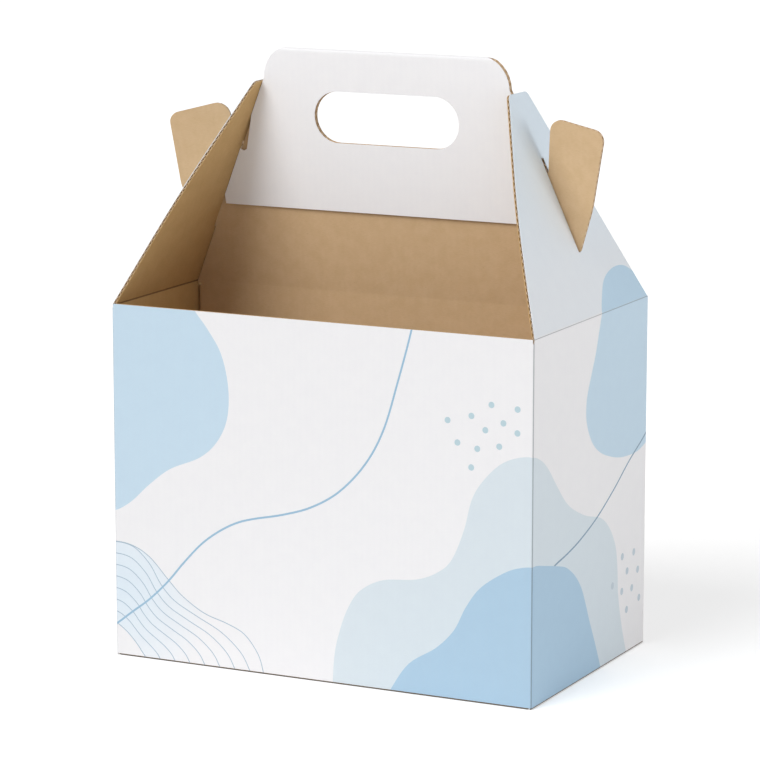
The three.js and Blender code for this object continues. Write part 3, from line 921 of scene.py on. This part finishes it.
# %% Edges and inks of a liner
def clean(mesh):
    """Drops the points that no face uses, and the faces that a tight fold closes up."""
    work = bmesh.new()
    work.from_mesh(mesh)
    bmesh.ops.dissolve_degenerate(work, dist=2e-6, edges=work.edges)
    bmesh.ops.delete(work, geom=[v for v in work.verts if not v.link_faces], context="VERTS")
    work.to_mesh(mesh)
    work.free()


def cut_edges(faces):
    """Edges of the blank's faces that belong to one face only."""
    ways = np.vstack([faces[:, [0, 1]], faces[:, [1, 2]], faces[:, [2, 0]]])
    seen = {tuple(way) for way in ways}
    return np.array([way for way in ways if (way[1], way[0]) not in seen])


HAZE_MIDDLE, HAZE_REACH = (-0.110, 0.036), 0.052


def corner_inks(places, faces, inks):
    """Ink colour of every face corner. The haze fades out to white with distance."""
    colours = np.repeat([INKS[ink] for ink in inks], 3, axis=0)
    spots = places[faces.ravel()]
    far = np.linalg.norm(spots - HAZE_MIDDLE, axis=1) / HAZE_REACH
    share = np.clip(far, 0, 1)[:, None] ** 1.6
    hazy = np.repeat(inks == "haze", 3)
    faded = colours * (1 - share) + np.array(INKS["white"]) * share
    colours[hazy] = faded[hazy]
    return colours


print("the divider has", len(cut_edges(divider_blank[1])), "cut edges")


# %% Liners
def place_object(name, data):
    """New object in the scene."""
    made = bpy.data.objects.new(name, data)
    bpy.context.scene.collection.objects.link(made)
    return made


def map_points(mesh, spots):
    """Writes each point's place on the flat blank as the mesh's UV map."""
    corners = np.empty(len(mesh.loops), int)
    mesh.loops.foreach_get("vertex_index", corners)
    uv_map = mesh.uv_layers.new(name="blank")
    uv_map.data.foreach_set("uv", spots[corners].astype(np.float32).ravel())


def keep_values(mesh, name, values):
    """Keeps a number or a vector for each point under this name."""
    values = np.array(values, np.float32)
    kind, key = ("FLOAT", "value") if values.ndim == 1 else ("FLOAT_VECTOR", "vector")
    mesh.attributes.new(name, kind, "POINT").data.foreach_set(key, values.ravel())


def liner(name, blank, fold, near, far, materials, bands=()):
    """Thin sheet between two depths below the blank's printed face."""
    places, faces, inks = blank
    count = len(places)
    top, bottom = (fold(places[:, 0], places[:, 1], depth) for depth in (near, far))
    rim = [(b, a, a + count, b + count) for a, b in cut_edges(faces)]
    all_faces = [tuple(f) for f in faces] + [tuple(f[::-1] + count) for f in faces] + rim
    mesh = bpy.data.meshes.new(name)
    mesh.from_pydata(np.vstack([top, bottom]).tolist(), [], all_faces)
    map_points(mesh, np.tile(places, (2, 1)))
    colours = np.tile(INKS["white"], (len(mesh.loops), 1))
    colours[:3 * len(faces)] = corner_inks(places, faces, inks)
    layer = mesh.color_attributes.new("print", "FLOAT_COLOR", "CORNER")
    layer.data.foreach_set("color", colours.astype(np.float32).ravel())
    keep_values(mesh, "crease", np.tile(crease_values(places, bands, near > 0), 2))
    for material in materials:
        mesh.materials.append(material)
    slots = np.zeros(len(mesh.polygons), int)
    slots[len(faces):2 * len(faces)] = len(materials) - 1
    mesh.polygons.foreach_set("material_index", slots)
    clean(mesh)
    mesh.shade_smooth()
    mesh.set_sharp_from_angle(angle=math.radians(35))
    print(name, len(mesh.polygons), "faces")
    return place_object(name, mesh)


# %% [markdown]
# Two papers show on this box: the brown kraft liner inside, and the white printed liner
# outside. Both are recycled fibre, so one node group draws the fibres, the soft mottling and
# the faint washboard that the flutes press through, all on the flat blank's own UV map.
# A few short helpers come first, each of which adds one node and gives back its output.


# %% Node helpers
def node(tree, kind, **settings):
    """Adds a node and sets its properties."""
    made = tree.nodes.new(kind)
    for name, value in settings.items():
        setattr(made, name, value)
    return made


def feed_one(tree, socket, source):
    """Links or sets one socket."""
    if isinstance(source, bpy.types.NodeSocket):
        tree.links.new(source, socket)
    else:
        socket.default_value = source


def feed(tree, target, *sources):
    """Links or sets a node's inputs in order and gives back its first output."""
    for socket, source in zip([s for s in target.inputs if s.enabled], sources):
        feed_one(tree, socket, source)
    return target.outputs[0]


def maths(tree, operation, *sources):
    """Result of one Math node."""
    return feed(tree, node(tree, "ShaderNodeMath", operation=operation), *sources)


def noise(tree, place, scale, detail, roughness=0.5):
    """Value of one noise texture, 0 to 1."""
    made = node(tree, "ShaderNodeTexNoise")
    tree.links.new(place, made.inputs["Vector"])
    for name, value in (("Scale", scale), ("Detail", detail), ("Roughness", roughness)):
        made.inputs[name].default_value = value
    return made.outputs[0]


def stretched(tree, place, turn, scale):
    """Coordinates turned about the sheet's normal and stretched."""
    made = node(tree, "ShaderNodeMapping")
    tree.links.new(place, made.inputs["Vector"])
    made.inputs["Rotation"].default_value = (0, 0, turn)
    made.inputs["Scale"].default_value = scale
    return made.outputs["Vector"]


def ramp(tree, value, low, high):
    """Value spread from low..high to 0..1, and held at the ends."""
    made = node(tree, "ShaderNodeMapRange", interpolation_type="SMOOTHSTEP")
    for name, source in (("Value", value), ("From Min", low), ("From Max", high)):
        feed_one(tree, made.inputs[name], source)
    return made.outputs["Result"]


trial_tree = bpy.data.node_groups.new("trial", "ShaderNodeTree")
maths(trial_tree, "ADD", 1, 2)
print("one call to maths adds", len(trial_tree.nodes), "node")
bpy.data.node_groups.remove(trial_tree)

# %% [markdown]
# The group has one input, the place on the blank, and five outputs. Mottle and fibre give the
# paper its two tones, specks are single dark fibres, the washboard is a sine wave at the
# flutes' pitch, and the height goes to the bump.

# %% Paper grain group
FLUTE_PITCH = 0.0032
paper = bpy.data.node_groups.new("paper grain", "ShaderNodeTree")
paper.interface.new_socket("Blank", in_out="INPUT", socket_type="NodeSocketVector")
for name in ("Mottle", "Fibre", "Specks", "Washboard", "Height"):
    paper.interface.new_socket(name, in_out="OUTPUT", socket_type="NodeSocketFloat")
ends = node(paper, "NodeGroupInput"), node(paper, "NodeGroupOutput")
flat = ends[0].outputs["Blank"]
mottle = noise(paper, flat, 140, 4, 0.6)
along = noise(paper, stretched(paper, flat, 0.5, (1, 7, 1)), 420, 3, 0.6)
across = noise(paper, stretched(paper, flat, -0.9, (1, 6, 1)), 520, 3, 0.6)
fibre = maths(paper, "MULTIPLY", maths(paper, "ADD", along, across), 0.5)
specks = ramp(paper, noise(paper, stretched(paper, flat, 0.2, (1, 2.5, 1)), 900, 2, 0.5), 0.68, 0.78)
split = node(paper, "ShaderNodeSeparateXYZ")
feed(paper, split, flat)
wave = maths(paper, "SINE", maths(paper, "MULTIPLY", split.outputs["X"], 2 * math.pi / FLUTE_PITCH))
washboard = maths(paper, "MULTIPLY_ADD", wave, 0.5, 0.5)
fine = noise(paper, flat, 2600, 2, 0.6)
height = maths(paper, "ADD", maths(paper, "MULTIPLY", fibre, 0.7), maths(paper, "MULTIPLY", fine, 0.5))
for name, value in (("Mottle", mottle), ("Fibre", fibre), ("Specks", specks),
                    ("Washboard", washboard), ("Height", height)):
    paper.links.new(value, ends[1].inputs[name])
print("paper grain group", len(paper.nodes), "nodes")

# %% [markdown]
# The materials mix their own two or three tones by those masks. The printed liner takes its
# ink from the colour attribute. Its gable flaps also carry a soft blue that fades in towards
# their tips, as the photograph shows, and this is a gradient up the blank. It is partly the
# print's blue and partly painted shade: from the fold up it darkens the flaps, which face the
# light more than the walls do.


# %% What all papers share
def new_material(name):
    """Empty paper material: its tree, shader, grain group and the blank's coordinates."""
    made = bpy.data.materials.new(name)
    made.use_nodes = True
    tree = made.node_tree
    shader = next(n for n in tree.nodes if n.type == "BSDF_PRINCIPLED")
    blank = node(tree, "ShaderNodeUVMap", uv_map="blank").outputs["UV"]
    grain = node(tree, "ShaderNodeGroup", node_tree=paper)
    feed(tree, grain, blank)
    return made, tree, shader, grain.outputs, blank


def blend(tree, factor, first, second, mode="MIX"):
    """Colour between two colours."""
    made = node(tree, "ShaderNodeMix", data_type="RGBA", blend_type=mode)
    for name, source in (("Factor_Float", factor), ("A_Color", first), ("B_Color", second)):
        feed_one(tree, next(s for s in made.inputs if s.identifier == name), source)
    return next(s for s in made.outputs if s.identifier == "Result_Color")


def relief(tree, shader, height, distance):
    """Bump on the shader's normal."""
    made = node(tree, "ShaderNodeBump")
    made.inputs["Strength"].default_value = 1
    made.inputs["Distance"].default_value = distance
    tree.links.new(height, made.inputs["Height"])
    tree.links.new(made.outputs["Normal"], shader.inputs["Normal"])


def crease_shaded(tree, colour, share, dark):
    """Colour with painted shade, a darker line, where the fold's crease value is near 1."""
    value = node(tree, "ShaderNodeAttribute", attribute_name="crease").outputs["Fac"]
    line = ramp(tree, value, 0.6, 0.9)
    return blend(tree, maths(tree, "MULTIPLY", line, share), colour, dark), line


print("the paper materials share one group of", len(paper.interface.items_tree) - 1, "outputs")

# %% [markdown]
# Kraft paper lies between two brown tones and is nearly matt. Its washboard and its specks
# are darker, and its folds are darkened with painted shade.


# %% Kraft papers
def kraft(name, dark, light):
    """Brown kraft paper between two tones."""
    made, tree, shader, grain, _ = new_material(name)
    share = maths(tree, "ADD", maths(tree, "MULTIPLY", grain["Mottle"], 0.45),
                  maths(tree, "MULTIPLY", grain["Fibre"], 0.55))
    tone = blend(tree, ramp(tree, share, 0.30, 0.70), linear(*dark), linear(*light))
    striped = blend(tree, maths(tree, "MULTIPLY", grain["Washboard"], 0.10), tone, linear(*dark))
    specked = blend(tree, maths(tree, "MULTIPLY", grain["Specks"], 0.3), striped, linear(130, 96, 62))
    # Painted shade: a deep brown line along the folds.
    shaded_at_folds, _ = crease_shaded(tree, specked, 0.75, linear(96, 66, 38))
    tree.links.new(shaded_at_folds, shader.inputs["Base Color"])
    shader.inputs["Roughness"].default_value = 0.86
    shader.inputs["Specular IOR Level"].default_value = 0.25
    rise = maths(tree, "MULTIPLY_ADD", grain["Washboard"], 0.6, grain["Height"])
    relief(tree, shader, rise, KRAFT_RELIEF)
    return made


KRAFT_RELIEF = 0.00003
carton_kraft = kraft("carton kraft", (199, 164, 112), (210, 176, 124))
divider_kraft = kraft("divider kraft", (207, 175, 134), (218, 187, 148))
# The flutes are paler than the liners: partly the cut edge's own light colour, partly painted highlight
# along the lit cut edges.
highlit_flute_paper = kraft("kraft flutes with painted highlight", (238, 214, 184), (250, 232, 208))
print("kraft papers:", ", ".join(m.name for m in (carton_kraft, divider_kraft, highlit_flute_paper)))

# %% [markdown]
# The white liner is a little smoother than kraft. It multiplies the ink by the tone of the
# paper, so that the fibres show through the print, and its bump dips along the folds. Its
# colour is also darkened along the folds with painted shade.


# %% White liners
def printed(name, tint_and_shade_share, gain):
    """White liner with the ink, and blue on the gable flaps that is print and painted shade."""
    made, tree, shader, grain, blank = new_material(name)
    ink = node(tree, "ShaderNodeVertexColor", layer_name="print").outputs["Color"]
    split = node(tree, "ShaderNodeSeparateXYZ")
    feed(tree, split, blank)
    # From their fold up, the gable flaps are multiplied by a blue: partly print, partly painted shade.
    on_flap = ramp(tree, split.outputs["Y"], HEIGHT, HEIGHT + 0.001)
    up_flap = ramp(tree, split.outputs["Y"], HEIGHT + 0.010, HEIGHT + 0.085)
    tint_and_shade = maths(tree, "MULTIPLY_ADD", up_flap, 0.6, maths(tree, "MULTIPLY", on_flap, 0.4))
    tinted_and_shaded = blend(
        tree, maths(tree, "MULTIPLY", tint_and_shade, tint_and_shade_share), ink, (0.88, 1.0, 1.08, 1), "MULTIPLY")
    shade = maths(tree, "ADD", maths(tree, "MULTIPLY", grain["Mottle"], 0.5),
                  maths(tree, "MULTIPLY", grain["Fibre"], 0.5))
    greyed = blend(tree, ramp(tree, shade, 0.30, 0.70), linear(252, 252, 253), linear(255, 255, 255))
    greyed = blend(tree, 1.0, greyed, (gain, gain, gain, 1), "MULTIPLY")
    paper_tone = blend(tree, 1.0, tinted_and_shaded, greyed, "MULTIPLY")
    striped = blend(tree, maths(tree, "MULTIPLY", grain["Washboard"], 0.015), paper_tone,
                    linear(200, 203, 208))
    # Painted shade: a grey-blue line along the folds.
    shaded_at_folds, line = crease_shaded(tree, striped, 0.6, linear(104, 112, 120))
    tree.links.new(shaded_at_folds, shader.inputs["Base Color"])
    feed_one(tree, shader.inputs["Roughness"], maths(tree, "MULTIPLY_ADD", grain["Fibre"], 0.2, 0.48))
    shader.inputs["Specular IOR Level"].default_value = 0.35
    rise = maths(tree, "MULTIPLY_ADD", grain["Washboard"], 0.5, grain["Height"])
    rise = maths(tree, "MULTIPLY_ADD", line, -4.0, rise)
    relief(tree, shader, rise, WHITE_RELIEF)
    return made


WHITE_RELIEF = 0.00002
printed_liner = printed("printed white liner", 1.0, 1.0)
plain_liner = printed("plain white liner", 0.0, 1.09)
print("white liners:", ", ".join(m.name for m in (printed_liner, plain_liner)))

# %% [markdown]
# The flutes show along every cut edge. One Geometry Nodes tree draws them: it takes the cut
# edges as curves, waves them between the two liners, and pushes them a little way in. The
# edges carry three values of their own: the run along the edge, the way across the board, and
# the way inward from the edge.

# %% Flute tree
FLUTE_REACH = 0.0010  # how far the flutes are drawn in from a cut edge
flute_tree = bpy.data.node_groups.new("flutes along an edge", "GeometryNodeTree")
flute_tree.interface.new_socket("Geometry", in_out="INPUT", socket_type="NodeSocketGeometry")
for name, value in (("Pitch", FLUTE_PITCH), ("Wave", 0.0008), ("Reach", FLUTE_REACH),
                    ("Inset", 0.00015), ("Step", 0.0004)):
    socket = flute_tree.interface.new_socket(name, in_out="INPUT", socket_type="NodeSocketFloat")
    socket.default_value = value
flute_tree.interface.new_socket("Paper", in_out="INPUT", socket_type="NodeSocketMaterial")
flute_tree.interface.new_socket("Geometry", in_out="OUTPUT", socket_type="NodeSocketGeometry")
given = node(flute_tree, "NodeGroupInput").outputs
result = node(flute_tree, "NodeGroupOutput")


def stored(name, kind):
    """Attribute of the edge curves."""
    made = node(flute_tree, "GeometryNodeInputNamedAttribute", data_type=kind)
    made.inputs["Name"].default_value = name
    return next(s for s in made.outputs if s.enabled and s.name == "Attribute")


def add_step(kind, inputs, **settings):
    """Adds a node, links its inputs and gives back its first output."""
    made = node(flute_tree, kind, **settings)
    for name, source in inputs.items():
        flute_tree.links.new(source, made.inputs[name])
    return made.outputs[0]


def scaled(vector, factor):
    """Vector times a number."""
    return add_step("ShaderNodeVectorMath", {0: vector, "Scale": factor}, operation="SCALE")


turns = maths(flute_tree, "DIVIDE", stored("run", "FLOAT"), given["Pitch"])
swing = maths(flute_tree, "SINE", maths(flute_tree, "MULTIPLY", turns, 2 * math.pi))
offset = maths(flute_tree, "MULTIPLY", swing, maths(flute_tree, "MULTIPLY", given["Wave"], 0.5))
inward = stored("inward", "FLOAT_VECTOR")
move = add_step(
    "ShaderNodeVectorMath",
    {0: scaled(stored("across", "FLOAT_VECTOR"), offset), 1: scaled(inward, given["Inset"])},
    operation="ADD")
curve = add_step("GeometryNodeMeshToCurve", {"Mesh": given["Geometry"]})
even = add_step(
    "GeometryNodeResampleCurve", {"Curve": curve, "Length": given["Step"]}, mode="LENGTH")
waved = add_step("GeometryNodeSetPosition", {"Geometry": even, "Offset": move})
line = add_step("GeometryNodeCurveToMesh", {"Curve": waved})
pushed = add_step(
    "GeometryNodeExtrudeMesh", {"Mesh": line, "Offset": inward, "Offset Scale": given["Reach"]},
    mode="EDGES")
real = add_step("GeometryNodeRealizeInstances", {"Geometry": pushed})
dressed = add_step("GeometryNodeSetMaterial", {"Geometry": real, "Material": given["Paper"]})
flute_tree.links.new(dressed, result.inputs[0])
print("flute tree", len(flute_tree.nodes), "nodes")

# %% [markdown]
# The tree needs the cut edges as a mesh of edges. They are joined into closed chains first,
# so that the wave runs on round every corner, and placed half way down in the board.


# %% Cut edges as curves
def edge_chains(faces):
    """Cut edges joined into closed chains of point numbers."""
    follow = dict(tuple(way) for way in cut_edges(faces).tolist())
    chains = []
    while follow:
        start, after = follow.popitem()
        chain = [start]
        while after != start:
            chain.append(after)
            after = follow.pop(after)
        chains.append(chain + [start])
    return chains


def edge_mesh(name, blank, fold):
    """Cut edges of a folded sheet, with the values that the flute tree reads."""
    places, faces, _ = blank
    points, ways, across, inward, run = [], [], [], [], []
    for chain in edge_chains(faces):
        line = places[chain]
        step = np.diff(line, axis=0)
        length = np.linalg.norm(step, axis=1)
        side = np.column_stack([-step[:, 1], step[:, 0]]) / length[:, None]
        corner = side + np.roll(side, 1, axis=0)
        corner /= np.maximum(np.linalg.norm(corner, axis=1), 0.4)[:, None]
        corner = np.vstack([corner, corner[:1]])
        mid = fold(*line.T, BOARD / 2)
        way_in = (fold(*(line + corner * FLUTE_REACH).T, BOARD / 2) - mid) / FLUTE_REACH
        out = (fold(*line.T, 0) - fold(*line.T, BOARD)) / BOARD
        first = len(points)
        points.extend(mid.tolist())
        ways.extend((first + k, first + k + 1) for k in range(len(line) - 1))
        across.extend(out.tolist())
        inward.extend(way_in.tolist())
        run.extend([0, *np.cumsum(length)])
    mesh = bpy.data.meshes.new(name)
    mesh.from_pydata(points, ways, [])
    for label, values in (("across", across), ("inward", inward), ("run", run)):
        keep_values(mesh, label, values)
    return mesh


print("the divider's cut edges form", len(edge_chains(divider_blank[1])), "closed chains")

# %% [markdown]
# The tree's result is given the paper's thickness and kept as a plain mesh. Its own UV map
# has the measure of the blank, so that the paper's grain has the right size on it too.

# %% Flutes of one sheet
FLUTE_PAPER = 0.00016
FLUTE_ROOM = 0.00018  # what the wave leaves free between the two liners


def flutes(name, blank, fold):
    """Wavy paper along every cut edge of a folded sheet."""
    source = place_object(name + " edges", edge_mesh(name + " edges", blank, fold))
    modifier = source.modifiers.new("flutes", "NODES")
    modifier.node_group = flute_tree
    keys = {s.name: s.identifier for s in flute_tree.interface.items_tree if s.in_out == "INPUT"}
    modifier[keys["Wave"]] = BOARD - 2 * LINER - FLUTE_ROOM
    modifier[keys["Paper"]] = highlit_flute_paper
    thick = source.modifiers.new("paper thickness", "SOLIDIFY")
    thick.thickness = FLUTE_PAPER
    thick.offset = 0
    shaped = source.evaluated_get(bpy.context.evaluated_depsgraph_get())
    mesh = bpy.data.meshes.new_from_object(shaped)
    bpy.data.objects.remove(source)
    spots = np.array([point.co for point in mesh.vertices], np.float32)
    map_points(mesh, np.column_stack([spots[:, 0] + spots[:, 1], spots[:, 2]]))
    mesh.shade_smooth()
    print(name, len(mesh.polygons), "faces")
    return place_object(name, mesh)


# %% [markdown]
# Now both sheets are folded. Each has three pieces: the white outer liner, the kraft inner
# liner, and the flutes between them. They ride the frame's root and take the place of its
# plain solids.


# %% The two sheets
def board(name, cad_name, blank, fold, bands, face, back):
    """Liners and flutes of one folded sheet, with these papers outside and inside."""
    white = liner(name + "_white_liner", blank, fold, 0, LINER, (face, back), bands)
    brown = liner(name + "_kraft_liner", blank, fold, BOARD - LINER, BOARD, (back,), bands)
    waves = flutes(name + "_flutes", blank, fold)
    for piece, part in ((white, "printed_board" if name == "carton" else "kraft_board"),
                        (brown, "kraft_board"), (waves, "kraft_board")):
        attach(piece, "root")
        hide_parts(cad_name)


board("carton", "carton", carton_blank, fold_carton, carton_bands, printed_liner, carton_kraft)
board("divider", "handle_divider", divider_blank, fold_divider, (), plain_liner, divider_kraft)

# %% [markdown]
# Inside the box the base is two layers thick, because the flaps overlap. The upper layer is
# four flaps that meet along seams, so it is made as four flat boards.

# %% Upper layer of the base
WALL_PLAY = 0.0002
INSIDE_X, INSIDE_Y = WIDTH / 2 - BOARD - WALL_PLAY, DEPTH / 2 - BOARD - WALL_PLAY
SEAM = 0.0004
UNDER = 0.00002  # the upper layer stays this far above the lower one
long_x, mid_y, lap_x = INSIDE_X - 2 * SEAM, 0.009, 0.046
upper_flaps = [
    [(-long_x, -INSIDE_Y), (long_x, -INSIDE_Y), (lap_x, mid_y - SEAM), (-lap_x, mid_y - SEAM)],
    [(long_x, INSIDE_Y), (-long_x, INSIDE_Y), (-lap_x, mid_y + SEAM), (lap_x, mid_y + SEAM)],
    [(-INSIDE_X, INSIDE_Y - SEAM), (-INSIDE_X, -INSIDE_Y + SEAM), (-lap_x - SEAM * 1.4, mid_y)],
    [(INSIDE_X, -INSIDE_Y + SEAM), (INSIDE_X, INSIDE_Y - SEAM), (lap_x + SEAM * 1.4, mid_y)],
]


def lay_flat(u, v, depth):
    """Places of the upper base layer, kraft side up."""
    return np.column_stack([u, v, np.full(len(u), 2 * BOARD - depth)])


for number, corners in enumerate(upper_flaps):
    flap = cut_blank(np.array(corners))
    piece = liner(f"base_flap_{number}", flap, lay_flat, 0, BOARD - UNDER, (carton_kraft,))
    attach(piece, "root")
    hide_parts("carton")

# %% [markdown]
# The photograph has a white ground with a soft shadow. A floor plane stands for it: the
# camera sees it white, and only the shadow darkens it. The white comes from a glow that
# only the camera, mirrors and glass see, so it puts no light on the box.


# %% Floor
def seen_directly(tree):
    """1 for rays from the camera or by way of a mirror or glass, and 0 for all others."""
    ray = node(tree, "ShaderNodeLightPath").outputs
    mirrored = maths(tree, "MAXIMUM", ray["Is Glossy Ray"], ray["Is Transmission Ray"])
    return maths(tree, "MAXIMUM", ray["Is Camera Ray"], mirrored)


FLOOR_GLOW, FLOOR_REACH = 0.38, 6.0
floor_mesh = bpy.data.meshes.new("floor")
corners = [(x * FLOOR_REACH, y * FLOOR_REACH, 0) for x, y in ((-1, -1), (1, -1), (1, 1), (-1, 1))]
floor_mesh.from_pydata(corners, [], [(0, 1, 2, 3)])
floor = place_object("floor", floor_mesh)
floor_paint = bpy.data.materials.new("white floor")
floor_paint.use_nodes = True
floor_shader = next(n for n in floor_paint.node_tree.nodes if n.type == "BSDF_PRINCIPLED")
floor_shader.inputs["Base Color"].default_value = linear(250, 250, 250)
floor_shader.inputs["Roughness"].default_value = 0.9
floor_shader.inputs["Specular IOR Level"].default_value = 0
paint = floor_paint.node_tree
glow = node(paint, "ShaderNodeEmission")
glow.inputs["Color"].default_value = (1, 1, 1, 1)
paint.links.new(maths(paint, "MULTIPLY", seen_directly(paint), FLOOR_GLOW), glow.inputs["Strength"])
both = node(paint, "ShaderNodeAddShader")
feed(paint, both, floor_shader.outputs[0], glow.outputs[0])
surface = next(n for n in paint.nodes if n.type == "OUTPUT_MATERIAL").inputs["Surface"]
paint.links.new(both.outputs[0], surface)
floor_mesh.materials.append(floor_paint)
print("floor", 2 * FLOOR_REACH, "m wide, glow", FLOOR_GLOW)

# %% [markdown]
# An even white world fills the shadows. A large soft sun stands to the upper left in front,
# and one weak lamp low on the right lifts the side wall.

# %% World
world = bpy.data.worlds.new("studio")
bpy.context.scene.world = world
world.use_nodes = True
sky = world.node_tree
fill = next(n for n in sky.nodes if n.type == "BACKGROUND")
ground = node(sky, "ShaderNodeBackground")
for background, strength in ((fill, 0.42), (ground, 1.0)):
    background.inputs["Color"].default_value = (1, 1, 1, 1)
    background.inputs["Strength"].default_value = strength
chosen = node(sky, "ShaderNodeMixShader")
feed(sky, chosen, seen_directly(sky), fill.outputs[0], ground.outputs[0])
surface = next(n for n in sky.nodes if n.type == "OUTPUT_WORLD").inputs["Surface"]
sky.links.new(chosen.outputs[0], surface)
print("world", len(sky.nodes), "nodes")


# %% Lamps
def add_lamp(name, kind, power, way):
    """Lamp of this kind and power that shines this way."""
    data = bpy.data.lights.new(name, kind)
    data.energy = power
    lamp = place_object(name, data)
    lamp.rotation_euler = Vector(way).to_track_quat("-Z", "Y").to_euler()
    return lamp


SIDE_FILL_PLACE, SIDE_FILL_AIM = Vector((2.2, 0.05, 0.35)), Vector((0, 0, 0.1))
key = add_lamp("key", "SUN", 1.75, (0.34, 0.72, -0.61))
key.data.angle = math.radians(40)
side_fill = add_lamp("side fill", "AREA", 13, SIDE_FILL_AIM - SIDE_FILL_PLACE)
side_fill.location = SIDE_FILL_PLACE
side_fill.data.size = 1.0
bpy.context.scene.view_settings.view_transform = "Standard"
print("lamps:", key.name, "and", side_fill.name)
